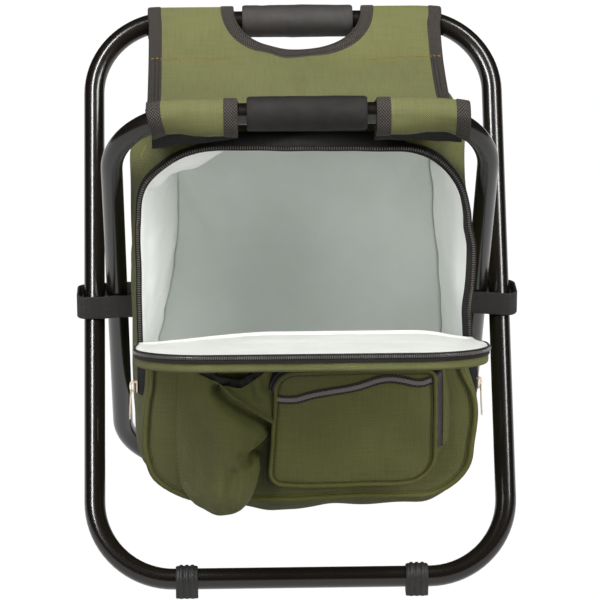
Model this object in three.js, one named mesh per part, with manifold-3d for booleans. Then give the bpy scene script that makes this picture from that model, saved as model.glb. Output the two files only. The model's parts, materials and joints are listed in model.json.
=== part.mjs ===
// Folding cooler stool. Two closed tube loops cross at side pivots, a fabric seat is slung
// between their top bars, and a soft insulated bag with a drop-down lid hangs between the legs.
// Millimetres, +Z up, the front faces -Y, and +X is the right-hand side seen from the front.

import * as THREE from 'three';
import { mergeVertices } from 'three/addons/utils/BufferGeometryUtils.js';
import Module from 'manifold-3d';

const wasm = await Module();
wasm.setup();

// Fits shared by all pieces
const gap = 0.3; // clearance between pieces that touch
const overrun = 20; // how far a cutting solid runs past what it cuts

// Tube loops
const tubeDiameter = 18;
const tubeWall = 1.2;
const legLean = THREE.MathUtils.degToRad(34.1); // each loop leans this far from upright
const pivotToRail = 247; // along the leg, from the pivot to the floor rail's centre line
const outerWidth = 352.5; // between the centre lines of the outer legs
const outerLength = 504; // between the centre lines of top bar and floor rail
const outerBend = 67.5;
const innerLength = 495;
const innerBend = 68.5;

// Pivots: a rivet through both tubes, with a spacer washer between them
const rivetRadius = 3;
const rivetHeadRadius = 6.5;
const rivetHeadHeight = 2.4;
const rivetPlay = 0.6; // between the rivet and its holes
const washerThickness = 1.4;
const washerRadius = 8;

// Floor feet: ribbed rubber saddles
const footWidth = 19;
const footWall = 1.9;
const footRibHeight = 1;
const footRibWidth = 3.2;
const footRibs = 3;
const footSole = 6.6; // under the tube
const footDepth = 15;
const footCornerRadius = 5;
const outerFootToBend = 1.25;
const innerFootToBend = 2.25;

// Carrying grips of foam on the top bars
const gripLength = 98;
const gripWall = 5;
const gripEndRound = 1;

// Seat
const seatToLeg = 20.25; // from the seat's nearer edge to the inner leg's centre line
const seatShift = 4.5; // the seat and the grips sit this far right of the middle of the bars
const seatSag = 26;
const seatThickness = 2;
const sleeveWall = 3;
const sleeveLooseness = 0.9; // between the sleeve and the tube in it, which also turns the bend
const bindingWidth = 11;
const bindingThickness = 2.8;
const gripToSleeve = 8; // bare tube between a grip and the sleeve beside it
const cutoutDepth = 45; // from the bar's centre line

// Cooler bag, measured from the pivot axis
const legToBag = 5.8; // from the inner leg's tube to the bag's side
const mouthShift = 4.5; // the mouth and the lower front hang this far right of the body
const bagToSeat = 14.1; // under the lowest place of the seat
const bagBottom = -146;
const bagBack = 95;
const bagFront = -110;
const mouthTopRadius = 58; // of the zipped mouth and the lid
const bodyTopRadius = 16; // of the body behind the mouth
const flareDepth = 26; // in which the body's top corners grow from one to the other
const bagBottomRadius = 42;
const shellWall = 1.2;
const foamWall = 5;
const linerWall = 0.8;

// Lid: the upper part of the bag's front, hinged along its lower edge
const lidHinge = -7; // height of the fold line
const lidDepth = 14.5; // from the lid's face to the zip seam
const lidFoamDepth = 10;
const lidOpening = THREE.MathUtils.degToRad(77); // how far the lid stands open

// Zips
const tapeThickness = 0.8;
const tapeWidth = 9;
const chainHeight = 1.2;
const chainHalfWidth = 2.7;
const chainSplit = 0.6; // between the two opened halves of the chain
const zipTail = 43; // how far the lid's zip runs on below the fold
const sliderLength = 11;
const sliderPlate = 1.8;
const sliderFlange = 1.5;
const archWindow = 2;
const archThickness = 0.8;
const archWidth = 2;
const archLength = 10;
const archFoot = 1;
const pullLength = 30;
const pullThickness = 1.2;
const pullCheek = 1.5;
const pullPlay = 0.4;

// Front pocket with its zip, right of the middle
const pocketToBottle = 4;
const pocketToSide = 29.45;
const pocketToFold = 15;
const pocketToBottom = 23;
const pocketDepth = 14;
const pocketRadius = 22;
const pocketTapeWidth = 10;
const pocketZipFromLeft = 16;
const pocketZipFromBottom = 29;
const pocketSliderShare = 0.51; // of the zip's straight stretch over the pocket
const pocketPipingRadius = 1.7;

// Reflective strip across the front pocket
const stripHeight = 11;
const stripThickness = 0.7;
const stripDropShares = [0.26, 0.21, 0.16, 0.12, 0.09, 0.125]; // below the pocket's top, left to right

// Bottle pocket, left of the middle
const bottleToSide = 33.45;
const bottleWidth = 80;
const bottleToFold = 37;
const bottleDrop = 7; // below the bag's bottom
const bottleDepth = 34;
const bottleWall = 1.6;
const elasticHeight = 8;
const elasticThickness = 2.6;

// Piping round the lower front panel
const pipingRadius = 2.2;
const pipingInset = 5;

// Straps that hold the bag to the crossed legs
const strapWidth = 20;
const strapThickness = 1.8;
const strapOuterPlay = 3.6; // beyond the rivet head
const strapLegPlay = 0.5; // in front of and behind the leaning tubes
const strapCorner = 9;

// Roundness, as counts of facets
const tubeSides = 16;
const boreSides = 12;
const bendSteps = 8;
const cornerSteps = 7;
const gripSides = 24;
const cordSides = 8;
const seatSteps = 14;
const cutoutSteps = 24;

// Sizes that follow from the ones above
const tubeRadius = tubeDiameter / 2;
const outerHalf = outerWidth / 2;
const innerHalf = outerHalf - tubeDiameter - washerThickness - 2 * gap;
const bagHalf = innerHalf - tubeRadius - legToBag;
const seatHalf = innerHalf - seatShift - seatToLeg;
const cutoutHalfWidth = gripLength / 2 + gripToSleeve;
const outerTopReach = outerLength - pivotToRail;
const innerTopReach = innerLength - pivotToRail;
const backBar = {
  y: outerTopReach * Math.sin(legLean),
  z: outerTopReach * Math.cos(legLean),
  half: outerHalf,
  reach: outerTopReach,
  bend: outerBend,
  lean: -legLean,
};
const frontBar = {
  y: -innerTopReach * Math.sin(legLean),
  z: innerTopReach * Math.cos(legLean),
  half: innerHalf,
  reach: innerTopReach,
  bend: innerBend,
  lean: legLean,
};
const railDrop = pivotToRail * Math.cos(legLean);
const railReach = pivotToRail * Math.sin(legLean);
const rivetHoleRadius = rivetRadius + rivetPlay;
const footRadius = tubeRadius + gap + footWall;
const footRibRadius = footRadius + footRibHeight;
const footDrop = tubeRadius + footSole;
const gripRadius = tubeRadius + gap + gripWall;
const bagTop = (backBar.z + frontBar.z) / 2 - seatSag - bagToSeat;
const seamY = bagFront + lidDepth;
const mainZipEnd = lidHinge - zipTail;
const bottleLeft = bottleToSide - bagHalf;
const bottleRight = bottleLeft + bottleWidth;
const bottleTop = lidHinge - bottleToFold;
const bottleBottom = bagBottom - bottleDrop;
const pocketLeft = bottleRight + pocketToBottle;
const pocketRight = bagHalf - pocketToSide;
const pocketTop = lidHinge - pocketToFold;
const pocketBottom = bagBottom + pocketToBottom;
const pocketZipLeft = pocketLeft + pocketZipFromLeft;
const pocketZipBottom = pocketBottom + pocketZipFromBottom;
const pocketZipBend = pocketRight - pocketRadius;
const pocketSliderX = pocketZipLeft + pocketSliderShare * (pocketZipBend - pocketZipLeft);
const tapeTop = gap + tapeThickness; // height of the tape's face over the cloth it is sewn to
const sleeveRadius = tubeRadius + sleeveLooseness + sleeveWall;

// Materials
function finish(color, roughness, metalness) {
  return new THREE.MeshStandardMaterial({ color, roughness, metalness });
}
const paint = finish(0x2b2829, 0.3, 0.6);
const foam = finish(0x3a3838, 0.85, 0);
const rubber = finish(0x1d1c1b, 0.8, 0);
const cloth = finish(0x5f6232, 0.85, 0);
const webbing = finish(0x242221, 0.8, 0);
const lining = finish(0xd8dcda, 0.5, 0);
const insulation = finish(0xe9e9e4, 0.9, 0);
const metal = finish(0xb9b2a6, 0.3, 1);
const reflective = finish(0x8d8886, 0.5, 0);

const stool = new THREE.Group();

function addPiece(name, geometry, material, parent = stool) {
  const mesh = new THREE.Mesh(geometry, material);
  mesh.name = name;
  parent.add(mesh);
  return mesh;
}

// Exact solids for joins and cuts
function toSolid(geometry) {
  const bare = geometry.clone();
  bare.deleteAttribute('normal');
  bare.deleteAttribute('uv');
  const merged = mergeVertices(bare);
  return new wasm.Manifold(new wasm.Mesh({
    numProp: 3,
    vertProperties: merged.attributes.position.array,
    triVerts: Uint32Array.from(merged.index.array),
  }));
}

function toGeometry(solid) {
  const mesh = solid.getMesh();
  const geometry = new THREE.BufferGeometry();
  geometry.setAttribute('position', new THREE.BufferAttribute(mesh.vertProperties, 3));
  geometry.setIndex(new THREE.BufferAttribute(mesh.triVerts, 1));
  geometry.computeVertexNormals();
  return geometry;
}

function largestPart(solid) {
  return solid.decompose().reduce((best, part) => (part.volume() > best.volume() ? part : best));
}

// A box given by its low and high corners
function boxBetween(low, high) {
  const size = high.map((value, axis) => value - low[axis]);
  const middle = high.map((value, axis) => (value + low[axis]) / 2);
  return new THREE.BoxGeometry(...size).translate(...middle);
}

// Points and outward normals round a rectangle with rounded corners, anticlockwise from the
// bottom right corner
function roundedOutline({ left, right, bottom, top, topRadius, bottomRadius, steps = cornerSteps }) {
  const corners = [
    [right - bottomRadius, bottom + bottomRadius, bottomRadius, -Math.PI / 2],
    [right - topRadius, top - topRadius, topRadius, 0],
    [left + topRadius, top - topRadius, topRadius, Math.PI / 2],
    [left + bottomRadius, bottom + bottomRadius, bottomRadius, Math.PI],
  ];
  const points = [];
  for (const [x, y, radius, start] of corners) {
    for (let step = 0; step <= steps; step += 1) {
      const angle = start + (Math.PI / 2) * (step / steps);
      const nx = Math.cos(angle);
      const ny = Math.sin(angle);
      points.push({ x: x + radius * nx, y: y + radius * ny, nx, ny });
    }
  }
  return points;
}

function offsetOutline(outline, distance) {
  return outline.map(({ x, y, nx, ny }) => ({ x: x + distance * nx, y: y + distance * ny, nx, ny }));
}

function shapeOf(outline) {
  return new THREE.Shape(outline.map(({ x, y }) => new THREE.Vector2(x, y)));
}

// Stands a flat drawing up: what was drawn in x and y then lies in X and Z, and depth runs to -Y
function standUp(geometry, y = 0) {
  return geometry.rotateX(Math.PI / 2).translate(0, y, 0);
}

// A slab with an outline in X and Z, from its back face forwards to its front face
function slab(outline, back, front) {
  const drawn = new THREE.ExtrudeGeometry(shapeOf(outline), { depth: back - front, bevelEnabled: false });
  return standUp(drawn, back);
}

// A solid through outlines in X and Z that have as many points each, from its back forwards
function loft(sections) {
  const count = sections[0].outline.length;
  const positions = sections.flatMap(({ outline, y }) => outline.flatMap((point) => [point.x, y, point.y]));
  const faces = [];
  for (let section = 1; section < sections.length; section += 1) {
    const back = (section - 1) * count;
    const front = section * count;
    for (let point = 0; point < count; point += 1) {
      const next = (point + 1) % count;
      faces.push(back + point, back + next, front + point);
      faces.push(front + point, back + next, front + next);
    }
  }
  const last = (sections.length - 1) * count;
  for (let point = 1; point < count - 1; point += 1) {
    faces.push(0, point + 1, point);
    faces.push(last, last + point, last + point + 1);
  }
  const geometry = new THREE.BufferGeometry();
  geometry.setAttribute('position', new THREE.Float32BufferAttribute(positions, 3));
  geometry.setIndex(faces);
  return geometry;
}

// A bar with a profile in Y and Z, from one X to another
function barAlongX(profile, from, to) {
  const shape = new THREE.Shape(profile.map(([y, z]) => new THREE.Vector2(y, z)));
  const drawn = new THREE.ExtrudeGeometry(shape, { depth: to - from, bevelEnabled: false });
  const alongX = new THREE.Matrix4().makeBasis(
    new THREE.Vector3(0, 1, 0), new THREE.Vector3(0, 0, 1), new THREE.Vector3(1, 0, 0));
  return drawn.applyMatrix4(alongX).translate(from, 0, 0);
}

// A round tube or cord along an outline in x and y, either closed on itself or with flat ends
function tubeAlong(outline, radius, sides, closed) {
  const positions = [];
  const faces = [];
  for (const { x, y, nx, ny } of outline) {
    for (let side = 0; side < sides; side += 1) {
      const angle = (2 * Math.PI * side) / sides;
      const out = radius * Math.cos(angle);
      positions.push(x + out * nx, y + out * ny, -radius * Math.sin(angle));
    }
  }
  const rings = outline.length;
  const spans = closed ? rings : rings - 1;
  for (let ring = 0; ring < spans; ring += 1) {
    const here = ring * sides;
    const next = ((ring + 1) % rings) * sides;
    for (let side = 0; side < sides; side += 1) {
      const turned = (side + 1) % sides;
      faces.push(here + side, here + turned, next + side);
      faces.push(next + side, here + turned, next + turned);
    }
  }
  if (!closed) {
    const last = (rings - 1) * sides;
    for (let side = 1; side < sides - 1; side += 1) {
      faces.push(0, side + 1, side);
      faces.push(last, last + side, last + side + 1);
    }
  }
  const geometry = new THREE.BufferGeometry();
  geometry.setAttribute('position', new THREE.Float32BufferAttribute(positions, 3));
  geometry.setIndex(faces);
  geometry.computeVertexNormals();
  return geometry;
}

// A turned piece about the X axis, from a profile of [radius, x] points
function turnedAlongX(profile, sides) {
  const points = profile.map(([radius, x]) => new THREE.Vector2(radius, x));
  return new THREE.LatheGeometry(points, sides).rotateZ(-Math.PI / 2);
}

function rodAlongX(radius, from, to, sides) {
  return turnedAlongX([[0, from], [radius, from], [radius, to], [0, to]], sides);
}

// A ring about the X axis; the profile runs round once and closes on itself
function ringAlongX(innerRadius, outerRadius, from, to, endRound, sides) {
  return turnedAlongX([
    [innerRadius, from],
    [outerRadius - endRound, from],
    [outerRadius, from + endRound],
    [outerRadius, to - endRound],
    [outerRadius - endRound, to],
    [innerRadius, to],
    [innerRadius, from],
  ], sides);
}

// Tube loops, drawn about the pivot axis in their own plane and then leaned over

function tubeLoop(halfWidth, length, bend) {
  const outline = roundedOutline({
    left: -halfWidth,
    right: halfWidth,
    bottom: -pivotToRail,
    top: length - pivotToRail,
    topRadius: bend,
    bottomRadius: bend,
    steps: bendSteps,
  });
  const hole = rodAlongX(rivetHoleRadius, -halfWidth - overrun, halfWidth + overrun, boreSides);
  const loop = toSolid(standUp(tubeAlong(outline, tubeRadius, tubeSides, true)))
    .subtract(toSolid(standUp(tubeAlong(outline, tubeRadius - tubeWall, boreSides, true))))
    .subtract(toSolid(hole));
  return toGeometry(loop);
}

addPiece('outer_frame', tubeLoop(outerHalf, outerLength, outerBend), paint).rotation.x = -legLean;
addPiece('inner_frame', tubeLoop(innerHalf, innerLength, innerBend), paint).rotation.x = legLean;

// Pivot rivets and the washers that keep the two tubes apart

const rivetOuterFace = outerHalf + tubeRadius + gap;
const rivetInnerFace = innerHalf - tubeRadius - gap;
const rivetProfile = [
  [0, rivetInnerFace - rivetHeadHeight],
  [rivetHeadRadius / 2, rivetInnerFace - rivetHeadHeight],
  [rivetHeadRadius, rivetInnerFace - rivetHeadHeight / 2],
  [rivetHeadRadius, rivetInnerFace],
  [rivetRadius, rivetInnerFace],
  [rivetRadius, rivetOuterFace],
  [rivetHeadRadius, rivetOuterFace],
  [rivetHeadRadius, rivetOuterFace + rivetHeadHeight / 2],
  [rivetHeadRadius / 2, rivetOuterFace + rivetHeadHeight],
  [0, rivetOuterFace + rivetHeadHeight],
];
const washerFrom = innerHalf + tubeRadius + gap;

for (const [side, turn] of [['left', Math.PI], ['right', 0]]) {
  addPiece(`pivot_rivet_${side}`, turnedAlongX(rivetProfile, tubeSides), metal).rotation.z = turn;
  const washer = ringAlongX(
    rivetHoleRadius, washerRadius, washerFrom, washerFrom + washerThickness, gap, tubeSides);
  addPiece(`spacer_washer_${side}`, washer, rubber).rotation.z = turn;
}

// Feet under both floor rails

function footGeometry() {
  const half = footWidth / 2;
  const pad = roundedOutline({
    left: -half,
    right: half,
    bottom: -footDrop,
    top: 0,
    topRadius: gap,
    bottomRadius: footCornerRadius,
  });
  let foot = toSolid(rodAlongX(footRadius, -half, half, gripSides))
    .add(toSolid(slab(pad, footDepth / 2, -footDepth / 2)));
  for (let rib = 0; rib < footRibs; rib += 1) {
    const middle = footWidth * ((rib + 1) / (footRibs + 1) - 1 / 2);
    const ribRod = rodAlongX(footRibRadius, middle - footRibWidth / 2, middle + footRibWidth / 2, gripSides);
    foot = foot.add(toSolid(ribRod));
  }
  const seat = rodAlongX(tubeRadius + gap, -half - overrun, half + overrun, gripSides);
  return toGeometry(foot.subtract(toSolid(seat)));
}

const outerFootX = outerHalf - outerBend - outerFootToBend - footWidth / 2;
const innerFootX = innerHalf - innerBend - innerFootToBend - footWidth / 2;
const feet = [
  ['foot_front_left', -outerFootX, -railReach],
  ['foot_front_right', outerFootX, -railReach],
  ['foot_back_left', -innerFootX, railReach],
  ['foot_back_right', innerFootX, railReach],
];
for (const [name, x, y] of feet) {
  addPiece(name, footGeometry(), rubber).position.set(x, y, -railDrop);
}

// Foam grips and fabric sleeves on the top bars. The sleeves run on round the start of the bends.

// A round rod that follows a top bar and its bends, between two places in X, leaned with its loop
function rodOnBar(bar, radius, sides, from, to) {
  const straight = bar.half - bar.bend;
  const places = [from, to];
  for (let step = 0; step < bendSteps; step += 1) {
    const x = straight + bar.bend * Math.sin((Math.PI / 2) * (step / bendSteps));
    places.push(x, -x);
  }
  const points = places
    .filter((x) => x >= from && x <= to)
    .sort((first, second) => second - first)
    .map((x) => {
      const nx = Math.sign(x) * Math.max(0, Math.abs(x) - straight) / bar.bend;
      const ny = Math.sqrt(1 - nx * nx);
      return { x, y: bar.reach - bar.bend * (1 - ny), nx, ny };
    });
  return standUp(tubeAlong(points, radius, sides, false)).rotateX(bar.lean);
}

const gripHalf = gripLength / 2;
const bars = [['back', backBar], ['front', frontBar]];
for (const [place, bar] of bars) {
  const grip = ringAlongX(
    tubeRadius + gap, gripRadius, -gripHalf, gripHalf, gripEndRound, gripSides);
  addPiece(`grip_${place}`, grip, foam).position.set(seatShift, bar.y, bar.z);
  const reaches = [
    ['left', seatShift - seatHalf, seatShift - cutoutHalfWidth],
    ['right', seatShift + cutoutHalfWidth, seatShift + seatHalf],
  ];
  for (const [side, from, to] of reaches) {
    const sleeve = toSolid(rodOnBar(bar, sleeveRadius, tubeSides, from, to))
      .subtract(toSolid(rodOnBar(bar, tubeRadius + sleeveLooseness, tubeSides, from - gap, to + gap)));
    addPiece(`seat_sleeve_${place}_${side}`, toGeometry(sleeve), cloth);
  }
}

// Seat cloth, slung between the two bars and bound along its sides and its hand cut-outs

function seatProfile(thickness) {
  const start = frontBar.y + tubeRadius;
  const end = backBar.y - tubeRadius;
  const upper = [];
  const lower = [];
  for (let step = 0; step <= seatSteps; step += 1) {
    const share = step / seatSteps;
    const y = start + (end - start) * share;
    const along = (y - frontBar.y) / (backBar.y - frontBar.y);
    const middle = frontBar.z + (backBar.z - frontBar.z) * along - 4 * seatSag * along * (1 - along);
    upper.push([y, middle + thickness / 2]);
    lower.push([y, middle - thickness / 2]);
  }
  return [...lower, ...upper.reverse()];
}

// A stretch of the slung sheet between two places in X, cut free of the sleeves
function seatSheet(thickness, from, to) {
  let sheet = toSolid(barAlongX(seatProfile(thickness), from, to));
  for (const [, bar] of bars) {
    const reach = seatHalf + Math.abs(seatShift) + sleeveRadius;
    sheet = sheet.subtract(toSolid(rodOnBar(bar, sleeveRadius + gap, tubeSides, -reach, reach)));
  }
  return largestPart(sheet); // without the offcuts beyond the bars
}

function cutoutPrism(bar, grow) {
  const shape = new THREE.Shape();
  shape.absellipse(seatShift, bar.y, cutoutHalfWidth + grow, cutoutDepth + grow, 0, 2 * Math.PI);
  const depth = 2 * (seatSag + overrun);
  const drawn = new THREE.ExtrudeGeometry(shape, { depth, bevelEnabled: false, curveSegments: cutoutSteps });
  return toSolid(drawn.translate(0, 0, bar.z - depth / 2));
}

const clothFrom = seatShift - seatHalf + bindingWidth + gap;
const clothTo = seatShift + seatHalf - bindingWidth - gap;
let seatCloth = seatSheet(seatThickness, clothFrom, clothTo);
for (const [, bar] of bars) {
  seatCloth = seatCloth.subtract(cutoutPrism(bar, bindingWidth + gap));
}
addPiece('seat_cloth', toGeometry(seatCloth), cloth);

const sideBindings = [
  ['left', seatShift - seatHalf, clothFrom - gap],
  ['right', clothTo + gap, seatShift + seatHalf],
];
for (const [side, from, to] of sideBindings) {
  addPiece(`seat_binding_${side}`, toGeometry(seatSheet(bindingThickness, from, to)), webbing);
}

const bindingSheet = seatSheet(bindingThickness, clothFrom, clothTo);
for (const [place, bar] of bars) {
  const binding = bindingSheet.intersect(cutoutPrism(bar, bindingWidth).subtract(cutoutPrism(bar, 0)));
  addPiece(`cutout_binding_${place}`, toGeometry(binding), webbing);
}

// Cooler bag: cloth shell, foam and lining, nested one in the other

function bagCorners(topRadius) {
  return roundedOutline({
    left: -bagHalf,
    right: bagHalf,
    bottom: bagBottom,
    top: bagTop,
    topRadius,
    bottomRadius: bagBottomRadius,
  });
}

const bagOutline = bagCorners(mouthTopRadius);
const bodyOutline = bagCorners(bodyTopRadius);
const mouthEnd = seamY + tapeWidth + 2 * gap;
const wide = bagHalf + overrun;
const aboveHinge = boxBetween([-wide, bagFront - overrun, lidHinge], [wide, seamY, bagTop + overrun]);

// The bag's full outline, drawn in from its outside by an inset
function bagBody(inset) {
  const mouth = offsetOutline(bagOutline, -inset).map((point) => ({ ...point, x: point.x + mouthShift }));
  const body = offsetOutline(bodyOutline, -inset);
  return toSolid(loft([
    { outline: body, y: bagBack - inset },
    { outline: body, y: mouthEnd + flareDepth },
    { outline: mouth, y: mouthEnd },
    { outline: mouth, y: bagFront + inset },
  ]));
}

// One layer of the bag's wall, as a box open at the top of its front
function bagLayer(inset, wall) {
  return toGeometry(bagBody(inset).subtract(bagBody(inset + wall)).subtract(toSolid(aboveHinge)));
}

const foamInset = shellWall + gap;
const linerInset = foamInset + foamWall + gap;
addPiece('bag_shell', bagLayer(0, shellWall), cloth);
addPiece('bag_foam', bagLayer(foamInset, foamWall), insulation);
addPiece('bag_liner', bagLayer(linerInset, linerWall), lining);

// All that hangs with the mouth and the lower front
const front = new THREE.Group();
front.position.x = mouthShift;
stool.add(front);

// Lid, drawn shut and then swung open about its fold line

const lid = new THREE.Group();
lid.position.set(0, bagFront, lidHinge);
lid.rotation.x = lidOpening;
front.add(lid);

const aboveFold = toSolid(boxBetween(
  [-wide, bagFront - overrun, lidHinge + gap], [wide, seamY, bagTop + overrun]));

function addLidPiece(name, solid, material) {
  const geometry = toGeometry(solid.intersect(aboveFold));
  addPiece(name, geometry.translate(0, -bagFront, -lidHinge), material, lid);
}

const lidRim = seamY - gap;
const lidCavity = slab(offsetOutline(bagOutline, -shellWall), bagBack, bagFront + shellWall);
const lidFoamFront = bagFront + foamInset;
const lidFoamBack = lidFoamFront + lidFoamDepth;
addLidPiece(
  'lid_shell', toSolid(slab(bagOutline, lidRim, bagFront)).subtract(toSolid(lidCavity)), cloth);
addLidPiece(
  'lid_foam', toSolid(slab(offsetOutline(bagOutline, -foamInset), lidFoamBack, lidFoamFront)), insulation);
addLidPiece('lid_liner', toSolid(slab(
  offsetOutline(bagOutline, -foamInset), lidFoamBack + gap + linerWall, lidFoamBack + gap)), lining);

// Zip of the lid: one half of the tape and chain on the bag's rim, the other on the lid's.
// Below the fold the two halves run on together, down to where the sliders are parked.

function bandRound(outline, inner, outer, back, front) {
  const outside = toSolid(slab(offsetOutline(outline, outer), back, front));
  return outside.subtract(toSolid(slab(offsetOutline(outline, inner), back + overrun, front - overrun)));
}

const chainTop = tapeTop + chainHeight;
const bagTape = bandRound(bagOutline, gap, tapeTop, seamY + tapeWidth, seamY)
  .add(bandRound(bagOutline, gap, chainTop, seamY + chainHalfWidth, seamY + chainSplit / 2))
  .intersect(toSolid(boxBetween(
    [-wide, bagFront, mainZipEnd], [wide, bagBack, bagTop + overrun])));
const closedChain = bandRound(bagOutline, gap, tapeTop, seamY + tapeWidth, seamY - tapeWidth)
  .add(bandRound(bagOutline, gap, chainTop, seamY + chainHalfWidth, seamY - chainHalfWidth))
  .intersect(toSolid(boxBetween([-wide, bagFront, mainZipEnd], [wide, bagBack, lidHinge - gap])));
addPiece('bag_zip_tape', toGeometry(bagTape.add(closedChain)), webbing, front);

const tapeFront = seamY - tapeWidth;
addLidPiece('lid_zip_tape', bandRound(bagOutline, gap, tapeTop, lidRim, tapeFront)
  .add(bandRound(bagOutline, gap, chainTop, seamY - chainSplit / 2 - gap, seamY - chainHalfWidth)), webbing);

// Piping round the lower front panel, from one zip end round the bottom to the other

const pipingOutline = offsetOutline(bagOutline, -pipingInset);
const perCorner = cornerSteps + 1;
const lowerLeft = pipingOutline.slice(3 * perCorner);
const lowerRight = pipingOutline.slice(0, perCorner);
const pipingTop = lidHinge - 2 * pipingRadius; // clear of the lid when it hangs down
const pipingPath = [
  { ...lowerLeft[0], y: pipingTop },
  ...lowerLeft,
  ...lowerRight,
  { ...lowerRight[perCorner - 1], y: pipingTop },
];
const pipingY = bagFront - gap - pipingRadius;
addPiece('front_piping', standUp(tubeAlong(pipingPath, pipingRadius, cordSides, false), pipingY), cloth, front);
const pipingRoom = toSolid(standUp(tubeAlong(pipingPath, pipingRadius + gap, cordSides, false), pipingY));

// Front pocket, its piping and the reflective strip across it

const pocketOutline = roundedOutline({
  left: pocketLeft,
  right: pocketRight,
  bottom: pocketBottom,
  top: pocketTop,
  topRadius: pocketRadius,
  bottomRadius: pocketRadius,
});
const pocketBackY = bagFront - gap;
const pocketFaceY = pocketBackY - pocketDepth;
addPiece('front_pocket', slab(pocketOutline, pocketBackY, pocketFaceY), cloth, front);

const pocketRim = offsetOutline(pocketOutline, -pocketPipingRadius);
const pocketPiping = tubeAlong(pocketRim, pocketPipingRadius, cordSides, true);
addPiece('pocket_piping', standUp(pocketPiping, pocketFaceY - gap - pocketPipingRadius), cloth, front);

const pocketHeight = pocketTop - pocketBottom;
const stripTopEdge = [];
const stripLowEdge = [];
stripDropShares.forEach((share, index) => {
  const x = pocketLeft + (pocketRight - pocketLeft) * (index / (stripDropShares.length - 1));
  const z = pocketTop - pocketHeight * share;
  stripTopEdge.push({ x, y: z + stripHeight / 2 });
  stripLowEdge.push({ x, y: z - stripHeight / 2 });
});
const stripOutline = [...stripLowEdge, ...stripTopEdge.reverse()];
const stripBack = pocketFaceY - gap;
const withinPiping = offsetOutline(pocketOutline, -(2 * pocketPipingRadius + gap));
const strip = toSolid(slab(stripOutline, stripBack, stripBack - stripThickness))
  .intersect(toSolid(slab(withinPiping, stripBack + overrun, stripBack - overrun)));
addPiece('reflective_strip', toGeometry(strip), reflective, front);

// Zip of the front pocket: flat on the bag, over the pocket's top and down its right side

const pocketZipMiddle = gap + pocketTapeWidth / 2;
const pocketTapeOuter = gap + pocketTapeWidth;
const tapeFace = pocketBackY - tapeThickness;
const zipReach = boxBetween(
  [pocketZipLeft, tapeFace - overrun, pocketZipBottom], [pocketRight + overrun, bagFront, lidHinge]);
const zipCorner = boxBetween(
  [pocketZipLeft - overrun, tapeFace - 2 * overrun, pocketZipBottom - overrun],
  [pocketZipBend, bagFront + overrun, pocketTop]);
const pocketTape = bandRound(pocketOutline, gap, pocketTapeOuter, pocketBackY, tapeFace)
  .add(bandRound(pocketOutline, pocketZipMiddle - chainHalfWidth, pocketZipMiddle + chainHalfWidth,
    pocketBackY, tapeFace - chainHeight))
  .intersect(toSolid(zipReach))
  .subtract(toSolid(zipCorner));
addPiece('pocket_zip_tape', toGeometry(pocketTape), webbing, front);

// Bottle pocket: a half-round pouch with an open top and an elastic mouth

function bottleOutline(inset) {
  const half = (bottleRight - bottleLeft) / 2 - inset;
  const middle = (bottleLeft + bottleRight) / 2;
  const points = [];
  for (let step = 0; step <= 2 * cornerSteps; step += 1) {
    const angle = Math.PI * (step / (2 * cornerSteps));
    const x = middle - half * Math.cos(angle);
    const y = pocketBackY - (bottleDepth - inset) * Math.sqrt(Math.sin(angle));
    points.push(new THREE.Vector2(x, y));
  }
  return points;
}

function pouch(inset, bottom, top) {
  const shape = new THREE.Shape(bottleOutline(inset));
  const drawn = new THREE.ExtrudeGeometry(shape, { depth: top - bottom, bevelEnabled: false });
  return toSolid(drawn.translate(0, 0, bottom));
}

const bottleBox = toSolid(boxBetween(
  [bottleLeft + bottleWall, pocketBackY - gap, bottleBottom + bottleWall],
  [bottleRight - bottleWall, bagFront + overrun, bagTop]));
const bottlePouch = pouch(0, bottleBottom, bottleTop)
  .subtract(pouch(bottleWall, bottleBottom + bottleWall, bagTop))
  .subtract(bottleBox)
  .subtract(pipingRoom);
addPiece('bottle_pocket', toGeometry(bottlePouch), cloth, front);

const elasticFrom = bottleTop + gap;
const elastic = pouch(0, elasticFrom, elasticFrom + elasticHeight)
  .subtract(pouch(elasticThickness, elasticFrom - overrun, bagTop))
  .subtract(bottleBox);
addPiece('bottle_pocket_elastic', toGeometry(elastic), webbing, front);

// Zip sliders with an arch each, and pull tabs whose cross bar lies under the arch.
// Drawn with the zip running along y and its face looking along z.

const plateBottom = chainTop + gap;
const plateTop = plateBottom + sliderPlate;
const archTop = plateTop + archWindow + archThickness;
const sliderInner = chainHalfWidth + gap;
const sliderOuter = sliderInner + sliderFlange;

function sliderGeometry() {
  const halfLength = sliderLength / 2;
  const halfArch = archLength / 2;
  const plate = boxBetween([-sliderOuter, -halfLength, plateBottom], [sliderOuter, halfLength, plateTop]);
  let slider = toSolid(plate);
  for (const side of [-1, 1]) {
    const near = side * sliderInner;
    const far = side * sliderOuter;
    const flange = boxBetween(
      [Math.min(near, far), -halfLength, tapeTop + gap], [Math.max(near, far), halfLength, plateTop]);
    slider = slider.add(toSolid(flange));
  }
  const archBody = boxBetween([-archWidth / 2, -halfArch, plateBottom], [archWidth / 2, halfArch, archTop]);
  const window = boxBetween(
    [-archWidth, archFoot - halfArch, plateTop], [archWidth, halfArch - archFoot, plateTop + archWindow]);
  return toGeometry(slider.add(toSolid(archBody)).subtract(toSolid(window)));
}

const pullHalfWidth = archWidth / 2 + pullPlay + pullCheek;
const pullBarHalf = pullThickness / 2;
const pullAxisHeight = plateTop + archWindow / 2;

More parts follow.
